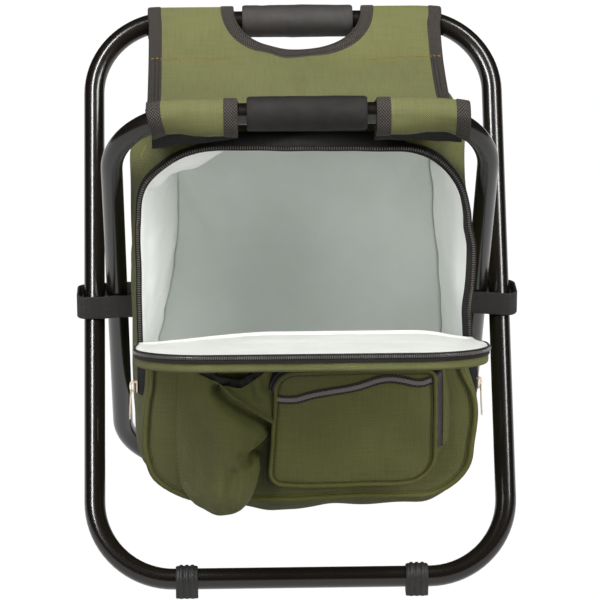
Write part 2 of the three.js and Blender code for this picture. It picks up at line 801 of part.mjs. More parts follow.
// The pull lies along -y from its cross bar, which is drawn on the x axis
function pullGeometry() {
  const slotEnd = -(archLength / 2 + pullPlay);
  const body = boxBetween(
    [-pullHalfWidth, -pullLength, -pullBarHalf], [pullHalfWidth, pullBarHalf, pullBarHalf]);
  const slot = boxBetween(
    [pullCheek - pullHalfWidth, slotEnd, -overrun], [pullHalfWidth - pullCheek, -pullBarHalf, overrun]);
  return toGeometry(toSolid(body).subtract(toSolid(slot)));
}

function addSlider(name, origin, alongZip, outward) {
  const across = new THREE.Vector3().crossVectors(alongZip, outward);
  const place = new THREE.Group();
  place.position.copy(origin);
  place.setRotationFromMatrix(new THREE.Matrix4().makeBasis(across, alongZip, outward));
  front.add(place);
  addPiece(`${name}_slider`, sliderGeometry(), metal, place);
  addPiece(`${name}_pull`, pullGeometry(), metal, place).position.z = pullAxisHeight;
}

const up = new THREE.Vector3(0, 0, 1);
const right = new THREE.Vector3(1, 0, 0);
const forward = new THREE.Vector3(0, -1, 0);
const parked = mainZipEnd + sliderLength / 2;
addSlider('lid_zip_left', new THREE.Vector3(-bagHalf, seamY, parked), up, right.clone().negate());
addSlider('lid_zip_right', new THREE.Vector3(bagHalf, seamY, parked), up, right);
addSlider(
  'pocket_zip',
  new THREE.Vector3(pocketSliderX, bagFront, pocketTop + pocketZipMiddle),
  right, forward);

// Straps round the crossed legs, one on each side of the bag

const strapFar = rivetOuterFace + rivetHeadHeight + strapOuterPlay;
const tubeReach = tubeRadius / Math.cos(legLean) + (strapWidth / 2) * Math.tan(legLean);
const strapOutline = roundedOutline({
  left: bagHalf + gap,
  right: strapFar,
  bottom: -(tubeReach + strapLegPlay + strapThickness),
  top: tubeReach + strapLegPlay + strapThickness,
  topRadius: strapCorner,
  bottomRadius: strapCorner,
});

function strapPrism(inset, height) {
  const shape = shapeOf(offsetOutline(strapOutline, -inset));
  const drawn = new THREE.ExtrudeGeometry(shape, { depth: height, bevelEnabled: false });
  return toSolid(drawn.translate(0, 0, -height / 2));
}

for (const [side, turn] of [['left', Math.PI], ['right', 0]]) {
  const strap = strapPrism(0, strapWidth).subtract(strapPrism(strapThickness, strapWidth + overrun));
  addPiece(`leg_strap_${side}`, toGeometry(strap), webbing).rotation.z = turn;
}

// The stool's origin is the middle of the floor area that it covers, with the lid open
const extent = new THREE.Box3().setFromObject(stool, true);
const centre = extent.getCenter(new THREE.Vector3());
stool.position.set(-centre.x, -centre.y, -extent.min.z);

export default stool;
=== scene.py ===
# %% [markdown]
# # A folding cooler stool
#
# The real object is a small camping stool. Two loops of painted steel tube cross at side pivots, a
# cloth seat is slung between their top bars, and a soft insulated bag with a drop-down lid hangs
# between the legs. Every rigid size comes from the packed model, and this lesson dresses it: smooth
# tubes, sewn cloth, zips, foam grips and ribbed feet.
#
# The packed model is loaded first.

# %% Load the packed model
import json
import math

import bmesh
import bpy
import numpy as np
from mathutils import Matrix, Vector

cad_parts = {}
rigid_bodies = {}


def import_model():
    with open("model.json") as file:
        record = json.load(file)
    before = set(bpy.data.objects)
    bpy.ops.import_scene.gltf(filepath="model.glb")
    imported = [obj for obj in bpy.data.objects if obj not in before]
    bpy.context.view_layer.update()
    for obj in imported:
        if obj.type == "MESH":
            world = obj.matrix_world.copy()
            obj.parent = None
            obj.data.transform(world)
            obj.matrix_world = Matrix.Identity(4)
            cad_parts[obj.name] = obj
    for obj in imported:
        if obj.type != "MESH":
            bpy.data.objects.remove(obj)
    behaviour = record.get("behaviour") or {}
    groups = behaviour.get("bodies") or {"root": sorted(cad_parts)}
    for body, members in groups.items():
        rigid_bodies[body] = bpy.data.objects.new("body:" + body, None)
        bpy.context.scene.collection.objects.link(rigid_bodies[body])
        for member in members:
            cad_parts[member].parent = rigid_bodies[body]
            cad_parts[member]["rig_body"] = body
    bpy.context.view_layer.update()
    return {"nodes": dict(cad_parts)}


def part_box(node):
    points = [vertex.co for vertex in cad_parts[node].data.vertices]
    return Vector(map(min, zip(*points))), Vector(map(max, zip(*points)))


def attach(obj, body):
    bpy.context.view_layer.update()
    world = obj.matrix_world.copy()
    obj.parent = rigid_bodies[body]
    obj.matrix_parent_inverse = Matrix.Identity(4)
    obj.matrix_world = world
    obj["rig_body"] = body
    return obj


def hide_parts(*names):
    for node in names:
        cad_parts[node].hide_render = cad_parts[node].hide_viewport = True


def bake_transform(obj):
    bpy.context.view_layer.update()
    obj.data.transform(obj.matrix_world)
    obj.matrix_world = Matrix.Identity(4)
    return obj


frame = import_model()

# %% [markdown]
# The stool's sizes are in millimetres and are measured from the middle of the pivot axis, because the
# frame folds about it. Blender works in metres from the floor, so `placed` turns one into the other.

# %% Work from the pivot axis
MM = 0.001
rivet_low, rivet_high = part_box("pivot_rivet_left")
pivot = np.array([0, (rivet_low.y + rivet_high.y) / 2, (rivet_low.z + rivet_high.z) / 2])


def placed(points):
    """Millimetres from the pivot axis, as metres in the model's frame."""
    return np.asarray(points, float) * MM + pivot


def local_box(node):
    """The lowest and highest corner of a packed node, in millimetres from the pivot axis."""
    low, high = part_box(node)
    return (np.array(low) - pivot) / MM, (np.array(high) - pivot) / MM


print("pivot axis at", pivot.round(4))

# %% [markdown]
# Cloth and tube surfaces are grids of points. A `Pattern` collects such grids and sews them into one
# mesh, as a maker sews cut pieces together. It also keeps a flat map of the cloth in metres, so that
# a weave has the same pitch on every piece.

# %% Measure a grid


def lengths_along(points, axis):
    """Distance travelled along one direction of a grid, averaged over the other, in metres."""
    steps = np.linalg.norm(np.diff(points, axis=axis), axis=2).mean(axis=1 - axis)
    return np.concatenate([[0], np.cumsum(steps)]) * MM


square = np.array([[[0, 0, 0], [100, 0, 0]], [[0, 100, 0], [100, 100, 0]]])
print("a square of 100 mm measures", lengths_along(square, 0)[-1], "m along one side")

# %% A pattern of sewn grids


class Pattern:
    """Grids of points in millimetres from the pivot axis, sewn into one mesh."""

    def __init__(self):
        self.points = []
        self.faces = []
        self.cloth = []
        self.count = 0

    def grid(self, points, closed=False, cloth=None):
        """Adds a grid of rows and columns; a closed one joins its last column to its first."""
        points = np.asarray(points, float)
        if closed:
            points = np.concatenate([points, points[:, :1]], axis=1)
        rows, columns = points.shape[:2]
        if cloth is None:
            across = lengths_along(points, 1)
            along = lengths_along(points, 0)
            cloth = np.stack(np.meshgrid(across, along), axis=2)
        index = self.count + np.arange(rows * columns).reshape(rows, columns)
        corners = [index[:-1, :-1], index[:-1, 1:], index[1:, 1:], index[1:, :-1]]
        maps = [cloth[:-1, :-1], cloth[:-1, 1:], cloth[1:, 1:], cloth[1:, :-1]]
        self.points.append(points.reshape(-1, 3))
        self.faces.append(np.stack(corners, axis=2).reshape(-1, 4))
        self.cloth.append(np.stack(maps, axis=2).reshape(-1, 4, 2))
        self.count += rows * columns
        return self

    def cap(self, ring, shrink):
        """Closes a ring of points with smaller and smaller rings, each a share of the first."""
        ring = np.asarray(ring, float)
        middle = ring.mean(axis=0)
        return self.grid(np.stack([middle + (ring - middle) * share for share in shrink]), closed=True)

    def copies(self, points, faces):
        """Adds many small forms at once: points has one row for each form."""
        many, each = points.shape[:2]
        index = self.count + np.arange(many)[:, None, None] * each + np.asarray(faces)[None]
        self.points.append(points.reshape(-1, 3))
        self.faces.append(index.reshape(-1, 4))
        self.cloth.append(np.zeros((many * len(faces), 4, 2)))
        self.count += many * each
        return self

    def sew(self, name, finish, sharp=40, merge=0.004):
        """Makes the mesh, with coinciding points joined and faces turned outwards."""
        mesh = bpy.data.meshes.new(name)
        points = placed(np.concatenate(self.points))
        faces = np.concatenate(self.faces)
        mesh.from_pydata(points, [], faces.tolist())
        layer = mesh.uv_layers.new(name="cloth")
        layer.data.foreach_set("uv", np.concatenate(self.cloth).astype(np.float32).ravel())
        sewn = bmesh.new()
        sewn.from_mesh(mesh)
        bmesh.ops.remove_doubles(sewn, verts=sewn.verts, dist=merge * MM)
        bmesh.ops.dissolve_degenerate(sewn, edges=sewn.edges, dist=merge * MM / 4)
        bmesh.ops.recalc_face_normals(sewn, faces=sewn.faces)
        sewn.to_mesh(mesh)
        sewn.free()
        mesh.shade_smooth()
        mesh.set_sharp_from_angle(angle=math.radians(sharp))
        mesh.materials.append(finish)
        piece = bpy.data.objects.new(name, mesh)
        bpy.context.scene.collection.objects.link(piece)
        return piece


print("a pattern can take", [name for name in vars(Pattern) if not name.startswith("_")])

# %% [markdown]
# Each piece moves with the body of the packed node that it stands for, and `dress` says both things.
# Trim that stands for no node of its own only rides on a body.

# %% Dress the nodes


def dress(piece, slot, *nodes, body=None):
    """The piece stands for these nodes and rides on their body; the slot argument is not used."""
    if nodes:
        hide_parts(*nodes)
    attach(piece, body or frame["nodes"][nodes[0]]["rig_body"])
    print(f"{piece.name}: {len(piece.data.polygons)} faces")
    return piece


def thicken(piece, thickness, offset=-1):
    """Gives a sheet its thickness, in millimetres."""
    solid = piece.modifiers.new("thickness", "SOLIDIFY")
    solid.thickness = thickness * MM
    solid.offset = offset
    solid.use_even_offset = False
    return piece


print("nodes to dress:", ", ".join(sorted(frame["nodes"])))

# %% [markdown]
# Long pieces such as tubes, piping and bindings are one profile carried along a path. A curve with a
# bevel could do it too, but here the path's own direction and an upward direction give the profile
# its turn, so a flat strap never twists by itself.

# %% Carry a profile along a path


def swept(path, profile, up, closed=False):
    """Rows of points: the profile, as [sideways, upwards] pairs, at each place of the path."""
    path = np.asarray(path, float)
    if closed:
        tangent = np.roll(path, -1, axis=0) - np.roll(path, 1, axis=0)
    else:
        tangent = np.gradient(path, axis=0)
    tangent /= np.linalg.norm(tangent, axis=1, keepdims=True)
    side = np.cross(tangent, np.broadcast_to(up, path.shape))
    side /= np.linalg.norm(side, axis=1, keepdims=True)
    lift = np.cross(side, tangent)
    profile = np.asarray(profile, float)
    if profile.ndim == 2:
        profile = np.broadcast_to(profile, (len(path), *profile.shape))
    return path[:, None] + side[:, None] * profile[..., :1] + lift[:, None] * profile[..., 1:]


straight = swept([(0, 0, 0), (100, 0, 0)], [(0, 1), (1, 0)], (0, 0, 1))
print("a profile carried along 100 mm:", straight.shape[0], "rows of", straight.shape[1], "points")

# %% Profiles and closed bodies


def circle(radius, sides):
    """The profile of a round bar."""
    turn = np.arange(sides) * 2 * math.pi / sides
    return np.stack([radius * np.cos(turn), radius * np.sin(turn)], axis=1)


def flat_band(width, thickness, across=8, edge=5):
    """The profile of a strap or binding: flat faces and rounded edges."""
    half = width / 2 - thickness / 2
    turn = np.linspace(-math.pi / 2, math.pi / 2, edge)
    right = np.stack([half + np.cos(turn) * thickness / 2, np.sin(turn) * thickness / 2], axis=1)
    top = np.stack([np.linspace(half, -half, across)[1:-1], np.full(across - 2, thickness / 2)], axis=1)
    return np.concatenate([right, top, -right, -top])


def closed_body(rows, shrink=(1, 0), pattern=None):
    """Rows of closed profiles, with both ends capped."""
    pattern = pattern or Pattern()
    return pattern.grid(rows, closed=True).cap(rows[0], shrink).cap(rows[-1], shrink)


def closed_loop(rows, pattern=None):
    """Rows of closed profiles, whose last row joins the first."""
    pattern = pattern or Pattern()
    return pattern.grid(np.concatenate([rows, rows[:1]]), closed=True)


def cord(path, profile, up, finish, name, closed=False):
    """The profile carried along the path, with capped ends unless it is a loop."""
    rows = swept(path, profile, up, closed)
    return (closed_loop(rows) if closed else closed_body(rows)).sew(name, finish)


print("a strap 38 mm wide has a profile of", len(flat_band(38, 1.7)), "points")

# %% [markdown]
# Cloth is never quite even. `waver` is a soft, seeded unevenness, and `crease` is a ridge along a
# line. A displace modifier could do the same later, but these work on a grid before it is sewn, so
# pieces that touch can be moved alike. Both give the same result on each run.

# %% Unevenness and creases


def waver(points, size, seed, count=9):
    """A soft unevenness between about -1 and 1, of a size in millimetres."""
    draw = np.random.default_rng(seed)
    directions = draw.normal(size=(count, points.shape[-1]))
    directions /= np.linalg.norm(directions, axis=1, keepdims=True)
    waves = 2 * math.pi / (size * draw.uniform(0.6, 1.7, count))
    phases = draw.uniform(0, 2 * math.pi, count)
    return np.sin(points @ (directions * waves[:, None]).T + phases).mean(axis=-1) * 1.8


def crease(points, start, end, width):
    """1 along the line between two places, fading out over a width to each side."""
    start, end = np.asarray(start, float), np.asarray(end, float)
    line = end - start
    share = np.clip(((points - start) @ line) / (line @ line), 0, 1)
    away = np.linalg.norm(points - (start + share[..., None] * line), axis=-1)
    return np.exp(-((away / width) ** 2))


def eased(value, start, end):
    """0 before start, 1 after end, and a smooth turn between them."""
    share = np.clip((np.asarray(value, float) - start) / (end - start), 0, 1)
    return share * share * (3 - 2 * share)


def smoothed(points, count):
    """A smooth path through listed places."""
    points = np.asarray(points, float)
    ghost = np.concatenate([[2 * points[0] - points[1]], points, [2 * points[-1] - points[-2]]])
    stops = np.linspace(0, len(points) - 1.000001, count)
    index = stops.astype(int)
    t = (stops - index)[:, None]
    a, b, c, d = (ghost[index + step] for step in range(4))
    bent = (2 * a - 5 * b + 4 * c - d) * t ** 2 + (3 * b - a - 3 * c + d) * t ** 3
    return 0.5 * (2 * b + (c - a) * t + bent)


def drawn(*pairs):
    """A smooth value that runs through pairs of place and value, the places rising."""
    line = smoothed(pairs, 240)
    return lambda place: np.interp(place, line[:, 0], line[:, 1])


print("halfway through an easing:", eased(0.5, 0, 1), "and a quarter through:", eased(0.25, 0, 1))

# %% [markdown]
# ## Finishes
#
# Every finish is made of nodes, so it has its detail at the right scale wherever the piece is. A
# small `Finish` helper keeps the node code short: it adds a node, sets its plain inputs, and joins
# the others to it.

# %% A finish made of nodes


class Finish:
    """A material and the nodes that feed its shader."""

    def __init__(self, name, **values):
        self.material = bpy.data.materials.new(name)
        self.material.use_nodes = True
        self.tree = self.material.node_tree
        self.shader = self.tree.nodes["Principled BSDF"]
        for socket, value in values.items():
            self.shader.inputs[socket.replace("_", " ")].default_value = value

    def add(self, kind, output=0, settings=(), **inputs):
        """Adds a node. An input is named, or i and its number, and takes a value or another socket."""
        node = self.tree.nodes.new("ShaderNode" + kind)
        for key, value in settings:
            setattr(node, key, value)
        for key, value in inputs.items():
            socket = node.inputs[int(key[1:]) if key[1:].isdigit() else key.replace("_", " ")]
            if isinstance(value, bpy.types.NodeSocket):
                self.tree.links.new(value, socket)
            else:
                socket.default_value = value
        return node.outputs[output]

    def sums(self, operation, first, second=0.0):
        """One step of arithmetic."""
        return self.add("Math", settings=[("operation", operation)], i0=first, i1=second)

    def noise(self, scale, detail=3.0, vector=None, roughness=0.55):
        """A noise on the object's own coordinates, or on the given ones."""
        vector = vector or self.add("TexCoord", output=3)
        return self.add("TexNoise", Vector=vector, Scale=scale, Detail=detail, Roughness=roughness)

    def spread(self, value, low, high, start=0.3, end=0.7):
        """Carries a value from one span to another."""
        return self.add("MapRange", i0=value, i1=start, i2=end, i3=low, i4=high)

    def ramp(self, value, *stops):
        """A colour for each value, from pairs of place and colour."""
        node = self.tree.nodes.new("ShaderNodeValToRGB")
        points = node.color_ramp.elements
        while len(points) < len(stops):
            points.new(0.5)
        for point, (place, colour) in zip(points, stops):
            point.position = place
            point.color = (*colour, 1)
        self.tree.links.new(value, node.inputs[0])
        return node.outputs[0]

    def to(self, socket, value):
        """Joins a value to an input of the shader."""
        self.tree.links.new(value, self.shader.inputs[socket])

    def bump(self, height, distance, strength=1.0):
        """Raises the surface's fine detail by a distance in millimetres."""
        normal = self.add("Bump", Height=height, Distance=distance * MM, Strength=strength)
        self.to("Normal", normal)


def shade(red, green, blue):
    """A colour as it is seen on a screen, as light."""
    parts = [value / 255 for value in (red, green, blue)]
    return tuple(v / 12.92 if v <= 0.04045 else ((v + 0.055) / 1.055) ** 2.4 for v in parts)


print("a mid grey on the screen is light of", round(shade(128, 128, 128)[0], 3))

# %% [markdown]
# The olive cloth is a coated polyester in plain weave. Its threads are drawn from the flat map: two
# crossing waves make the little squares of the weave, thicker threads show as faint streaks, and a
# slow unevenness keeps large areas from looking printed. A picture of cloth could be laid on it
# instead, but it would blur from close by.

# %% Woven finishes


def woven(name, dark, light, pitch, relief, rough=0.8, sheen=0.0, streak=0.2, grain=0.24):
    """A plain weave of threads with a pitch in millimetres."""
    cloth = Finish(name, Sheen_Weight=sheen, Sheen_Roughness=0.5, Specular_IOR_Level=0.35)
    place = cloth.add("UVMap", settings=[("uv_map", "cloth")])
    drift = cloth.noise(60.0, 2.0, place)
    parts = cloth.tree.nodes.new("ShaderNodeSeparateXYZ")
    cloth.tree.links.new(place, parts.inputs[0])
    turns = 2 * math.pi / (pitch * MM)
    shift = cloth.sums("MULTIPLY", drift, 5.0)
    waves = []
    for axis in (0, 1):
        turn = cloth.sums("MULTIPLY", parts.outputs[axis], turns)
        waves.append(cloth.sums("SINE", cloth.sums("ADD", turn, shift)))
    weave = cloth.sums("MULTIPLY", *waves)
    streaks = []
    for stretch in ((30, 900, 1), (900, 30, 1)):
        stretched = cloth.add("Mapping", Vector=place, Scale=stretch)
        streaks.append(cloth.noise(1.0, 2.0, stretched))
    threads = cloth.sums("ADD", *streaks)
    slow = cloth.noise(9.0, 3.0)
    crossing = cloth.sums("MULTIPLY", weave, grain)
    tone = cloth.sums("ADD", crossing, cloth.sums("MULTIPLY", threads, streak))
    tone = cloth.sums("ADD", tone, cloth.sums("MULTIPLY", slow, 0.35))
    share = cloth.spread(tone, 0.0, 1.0, 0.2 + streak * 0.4, 0.45 + streak * 1.1)
    cloth.to("Base Color", cloth.ramp(share, (0.0, dark), (1.0, light)))
    cloth.to("Roughness", cloth.spread(threads, rough + 0.08, rough - 0.1, 0.7, 1.3))
    height = cloth.sums("ADD", weave, cloth.sums("MULTIPLY", threads, 0.8))
    cloth.bump(height, relief)
    return cloth.material


olive = woven("olive_cloth", shade(79, 81, 41), shade(121, 123, 72), 1.5, 0.12, sheen=0.03, grain=0.4)
binding = woven("black_binding", shade(14, 12, 11), shade(76, 69, 62), 2.6, 0.3, grain=0.9)
tape = woven("zip_tape", shade(14, 13, 12), shade(30, 28, 27), 0.9, 0.08)
webbing = woven("strap_webbing", shade(38, 36, 35), shade(74, 71, 68), 1.8, 0.22)
piping_cloth = woven("piping_cloth", shade(84, 84, 38), shade(116, 115, 58), 0.8, 0.05, sheen=0.03)
print("woven finishes:", olive.name, binding.name, tape.name, webbing.name, piping_cloth.name)

# %% [markdown]
# The other finishes are smooth or moulded. Gloss paint on steel tube has a faint orange peel, foam
# has fine pores, rubber is dull, the wipe-clean lining has a soft shine and small creases, and the
# zip's sliders are plated.

# %% Painted, moulded and plated finishes


def smooth(name, dark, light, rough, grain, relief, scale, **values):
    """A finish with an even colour, broken up by grain of a scale per metre."""
    made = Finish(name, **values)
    slow = made.noise(14.0, 4.0)
    fine = made.noise(scale, 2.0)
    made.to("Base Color", made.ramp(made.spread(slow, 0.0, 1.0), (0.0, dark), (1.0, light)))
    worn = made.noise(70.0, 6.0)
    made.to("Roughness", made.spread(worn, rough - grain, rough + grain, 0.35, 0.7))
    made.bump(fine, relief)
    return made.material


paint = smooth("frame_paint", shade(19, 16, 13), shade(24, 20, 16), 0.22, 0.01, 0.0004, 300.0,
               Specular_IOR_Level=0.5, Coat_Weight=0.1, Coat_Roughness=0.2)
foam = smooth("grip_foam", shade(36, 33, 31), shade(48, 44, 41), 0.72, 0.08, 0.25, 1500.0)
dark_foam = smooth("dark_grip_foam", shade(20, 18, 16), shade(30, 27, 25), 0.78, 0.08, 0.25, 1500.0,
                   Specular_IOR_Level=0.3)
rubber = smooth("foot_rubber", shade(24, 23, 22), shade(36, 34, 33), 0.62, 0.1, 0.08, 1200.0)
plastic = smooth("washer_plastic", shade(30, 29, 28), shade(38, 36, 35), 0.5, 0.08, 0.04, 900.0)
# The back panel's grey is painted shade: the same white lining, darkened where the bag's top shades its
# back wall.
back_lining_painted_shade = smooth("lining_painted_shade", shade(208, 215, 209), shade(218, 224, 219), 0.5, 0.08, 0.12, 260.0)
lining = smooth("white_lining", shade(237, 239, 236), shade(246, 247, 244), 0.5, 0.08, 0.12, 260.0)
strip_tape = smooth("reflective_tape", shade(92, 88, 87), shade(106, 101, 100), 0.38, 0.05, 0.05,
                    1800.0)
steel = smooth("rivet_steel", shade(168, 164, 158), shade(190, 186, 180), 0.32, 0.08, 0.03, 800.0,
               Metallic=1.0)
plated = smooth("zip_metal", shade(226, 206, 178), shade(240, 226, 204), 0.4, 0.06, 0.02, 900.0,
                Metallic=0.85)
coated_tape = smooth("coated_tape", shade(24, 23, 23), shade(34, 33, 33), 0.3, 0.06, 0.06, 500.0)
# The teeth are a lighter grey than the real dark coil: that lightness is a painted highlight for the
# glint on each tooth.
teeth_painted_glint = smooth("zip_teeth", shade(72, 69, 65), shade(98, 94, 89), 0.3, 0.06, 0.02, 900.0)
# The lid's lining is the white lining darkened a little: painted shade, so that the lid, which faces
# the light from above, is no brighter than the real one.
lid_white_painted_shade = smooth("lid_lining_painted_shade", shade(214, 215, 211), shade(224, 225, 220), 0.5, 0.08, 0.12,
                   260.0)
thread_olive = smooth("olive_thread", shade(60, 60, 30), shade(80, 80, 42), 0.7, 0.06, 0.05, 2500.0)
thread_dark = smooth("dark_thread", shade(22, 21, 18), shade(34, 32, 27), 0.7, 0.06, 0.05, 2500.0)
thread_tan = smooth("tan_thread", shade(112, 88, 34), shade(142, 114, 52), 0.7, 0.06, 0.05, 2500.0)
print("smooth finishes:", paint.name, foam.name, rubber.name, lining.name, plated.name)

# %% [markdown]
# ## Tube loops
#
# Each loop is one steel tube, bent round four corners and welded shut. The packed tubes have flat
# facets, which would show as broken highlights in gloss paint. A finely divided sweep of the same
# size keeps the highlight smooth.

# %% Outline with rounded corners


def rounded(left, right, bottom, top, radius, corner=20, straight=14):
    """Places round a rectangle with rounded corners, as [across, up] pairs."""
    places = []
    corners = [
        (right - radius, bottom + radius, -90), (right - radius, top - radius, 0),
        (left + radius, top - radius, 90), (left + radius, bottom + radius, 180),
    ]
    for index, (x, y, start) in enumerate(corners):
        turn = np.radians(start + np.linspace(0, 90, corner))
        arc = np.stack([x + radius * np.cos(turn), y + radius * np.sin(turn)], axis=1)
        places.append(arc)
        ahead_x, ahead_y, ahead = corners[(index + 1) % 4]
        turn = math.radians(ahead)
        reach = np.array([ahead_x + radius * math.cos(turn), ahead_y + radius * math.sin(turn)])
        share = np.linspace(0, 1, straight)[1:-1, None]
        places.append(arc[-1] + (reach - arc[-1]) * share)
    return np.concatenate(places)


print("a loop is drawn with", len(rounded(-100, 100, -100, 100, 50)), "places")

# %% The two loops
lean = math.radians(34.1)
tube_radius = 9
loops = {
    "outer": {"half": 176.25, "reach": 257, "bend": 67.5, "lean": -lean},
    "inner": {"half": 156.25, "reach": 248, "bend": 68.5, "lean": lean},
}
rail_reach = 247


def leaned(flat, angle, out=0):
    """Stands a flat drawing in a loop's plane up, and leans it with the loop."""
    flat = np.asarray(flat, float)
    x, up = flat[..., 0], flat[..., 1]
    return np.stack([x, -up * math.sin(angle) + out * math.cos(angle),
                     up * math.cos(angle) + out * math.sin(angle)], axis=-1)


for place, loop in loops.items():
    path = rounded(-loop["half"], loop["half"], -rail_reach, loop["reach"], loop["bend"])
    facing = [0, math.cos(loop["lean"]), math.sin(loop["lean"])]
    tube = cord(leaned(path, loop["lean"]), circle(tube_radius, 40), facing, paint,
                f"{place}_tube", closed=True)
    dress(tube, "frame_paint", f"{place}_frame")

# %% [markdown]
# ## Rivets and washers
#
# A rivet goes through both tubes on each side and its ends are hammered into low domes, and a plastic
# washer keeps the two painted tubes from rubbing. They could be spheres and cylinders joined together,
# but one turned profile gives each of them a single clean surface.

# %% Turn rivets and washers


def turned(profile, sides, middle=(0, 0, 0)):
    """Rows of points of a piece turned about the X axis, from [radius, x] pairs."""
    profile = np.asarray(profile, float)
    turn = np.arange(sides) * 2 * math.pi / sides
    radius, x = profile[:, :1], profile[:, 1:]
    rows = np.stack(np.broadcast_arrays(x, radius * np.cos(turn), radius * np.sin(turn)), axis=2)
    return rows + np.asarray(middle, float)


def dome(radius, height, face, outward, steps=6):
    """Half the profile of a low domed head, from its rim to its middle."""
    turn = np.linspace(0, math.pi / 2, steps)
    return [[radius * math.cos(t), face + outward * height * math.sin(t)] for t in turn]


inner_side, outer_side = loops["inner"]["half"], loops["outer"]["half"]
head_radius, head_height, shank = 6.5, 2.4, 3
washer_near, washer_far, washer_bore, washer_rim = 165.55, 166.95, 3.6, 8
for side, sign in (("left", -1), ("right", 1)):
    inner_face, outer_face = sign * (inner_side - 9.3), sign * (outer_side + 9.3)
    profile = dome(head_radius, head_height, inner_face, -sign)[::-1]
    profile += [[shank, inner_face], [shank, outer_face]]
    profile += dome(head_radius, head_height, outer_face, sign)
    rivet = Pattern().grid(turned(profile, 32), closed=True).sew(f"rivet_{side}", steel)
    dress(rivet, "rivet_steel", f"pivot_rivet_{side}")
    near, far, bevel = sign * washer_near, sign * washer_far, 0.3
    profile = [[washer_bore, near], [washer_rim - bevel, near], [washer_rim, near + sign * bevel],
               [washer_rim, far - sign * bevel], [washer_rim - bevel, far], [washer_bore, far],
               [washer_bore, near]]
    washer = Pattern().grid(turned(profile, 32), closed=True).sew(f"washer_{side}", plastic, sharp=30)
    dress(washer, "washer_plastic", f"spacer_washer_{side}")

# %% [markdown]
# ## Rubber feet
#
# Each foot is a moulded rubber saddle. Three ribs run over its top and down its sides, and its sole
# is flat on the floor. The ribs could be rings laid round a block, but a mould leaves no seam there.
# So one section, a round over the tube that drops into a block, swells at each rib.

# %% The section of a foot
foot_round, foot_drop, foot_half, foot_bore = 11.2, 15.6, 9.5, 9.2
sole_half, sole_round = 7.6, 2


def foot_section(swell):
    """The outline across a foot: over the tube to its back, down, under the sole and up its front."""
    turn = np.radians(np.linspace(0, 180, 25))
    over = (foot_round + swell) * np.stack([-np.cos(turn), np.sin(turn)], axis=1)
    half = sole_half + swell * 0.8
    corner = np.radians(np.linspace(0, 90, 6))
    back = np.stack([half - sole_round + sole_round * np.cos(corner),
                     -foot_drop + sole_round - sole_round * np.sin(corner)], axis=1)
    waist = np.array([[10.4 + swell, -4.5], [8.6 + swell, -8.5]])
    across = np.linspace(half - sole_round, sole_round - half, 5)[1:-1]
    sole = np.stack([across, np.full(3, -foot_drop)], axis=1)
    mirror = [-1, 1]
    return np.concatenate([over, waist, back, sole, back[::-1] * mirror, waist[::-1] * mirror])


print("a foot's section has", len(foot_section(0)), "points")

# %% Mould the feet
stations = np.linspace(-foot_half, foot_half, 49)
swells = sum(np.exp(-(((stations - rib) / 1.5) ** 4)) for rib in (-foot_half / 2, 0, foot_half / 2))
ends = eased(foot_half - np.abs(stations), 0, 1.2)
for node in ("foot_front_left", "foot_front_right", "foot_back_left", "foot_back_right"):
    low, high = local_box(node)
    middle = np.array([(low[0] + high[0]) / 2, (low[1] + high[1]) / 2, low[2] + foot_drop])
    rows = []
    for x, swell, end in zip(stations, swells, ends):
        section = foot_section(swell - 0.9 * (1 - end))
        rows.append(np.column_stack([np.full(len(section), x), section]) + middle)
    rows = np.array(rows)
    bore = turned([[foot_bore, -foot_half], [foot_bore, foot_half]], rows.shape[1], middle)
    start = np.argmin(np.linalg.norm(bore[0] - rows[0, 0], axis=1))
    bore = np.roll(bore, -start, axis=1)
    if np.linalg.norm(bore[0, 3] - rows[0, 3]) > np.linalg.norm(bore[0, -3] - rows[0, 3]):
        bore = np.roll(bore[:, ::-1], 1, axis=1)
    foot = Pattern().grid(rows, closed=True).grid(bore, closed=True)
    for end in (0, -1):
        foot.grid(np.stack([rows[end], bore[end]]), closed=True)
    dress(foot.sew(f"rubber_{node}", rubber, sharp=35), "foot_rubber", node)

# %% [markdown]
# ## Foam grips
#
# The carrying grips are thick foam sleeves. Hands have pressed them a little out of round and left
# small creases near the ends. Sculpting could give that as well, but a turned form that is moved by a
# soft unevenness and a few ridges can still be changed.

# %% Turn the foam grips
grip_radius, grip_bore = 14.3, 9.3
# Each dent: its place along the grip, where it starts and ends round it, and its depth.
dents = ((43, 2, 16, 0.7), (38, 8, 22, 0.5), (-44, 0, 14, 0.7), (-39, 10, 24, 0.45), (2, 4, 14, 0.35),
         (-8, -6, 6, 0.3))
for place, seed, finish in (("back", 3, foam), ("front", 4, dark_foam)):
    node = f"grip_{place}"
    low, high = local_box(node)
    middle = (low + high) / 2
    half = (high[0] - low[0]) / 2
    along = np.concatenate([[half], np.linspace(half, -half, 64), [-half]])
    rim = 1.1 * np.exp(-((half - np.abs(along)) / 0.8))
    bulge = grip_radius - rim + 0.12 * np.cos(along / half * 3)
    bulge[0] = bulge[-1] = grip_bore
    rows = turned(np.column_stack([bulge, along]), 72, middle)
    inside = along[1:-1]
    from_axis = rows[1:-1] - (middle + np.stack([inside, inside * 0, inside * 0], 1)[:, None])
    out = from_axis / np.linalg.norm(from_axis, axis=2, keepdims=True)
    around = np.arctan2(out[..., 2], -out[..., 1])
    flat = np.stack([np.broadcast_to(inside[:, None], around.shape), around * 14], axis=2)
    press = 0.22 * waver(rows[1:-1], 26, seed) + 0.1 * waver(rows[1:-1], 7, seed + 9)
    for x, low_turn, high_turn, depth in dents:
        press -= depth * crease(flat, (x, low_turn), (x - 2.5, high_turn), 1.3)
    rows[1:-1] += out * press[..., None]
    grip = Pattern().grid(rows, closed=True)
    grip.grid(turned([[grip_bore, half], [grip_bore, -half]], 72, middle), closed=True)
    piece = dress(grip.sew(f"foam_{node}", finish, sharp=50), "grip_foam", node)

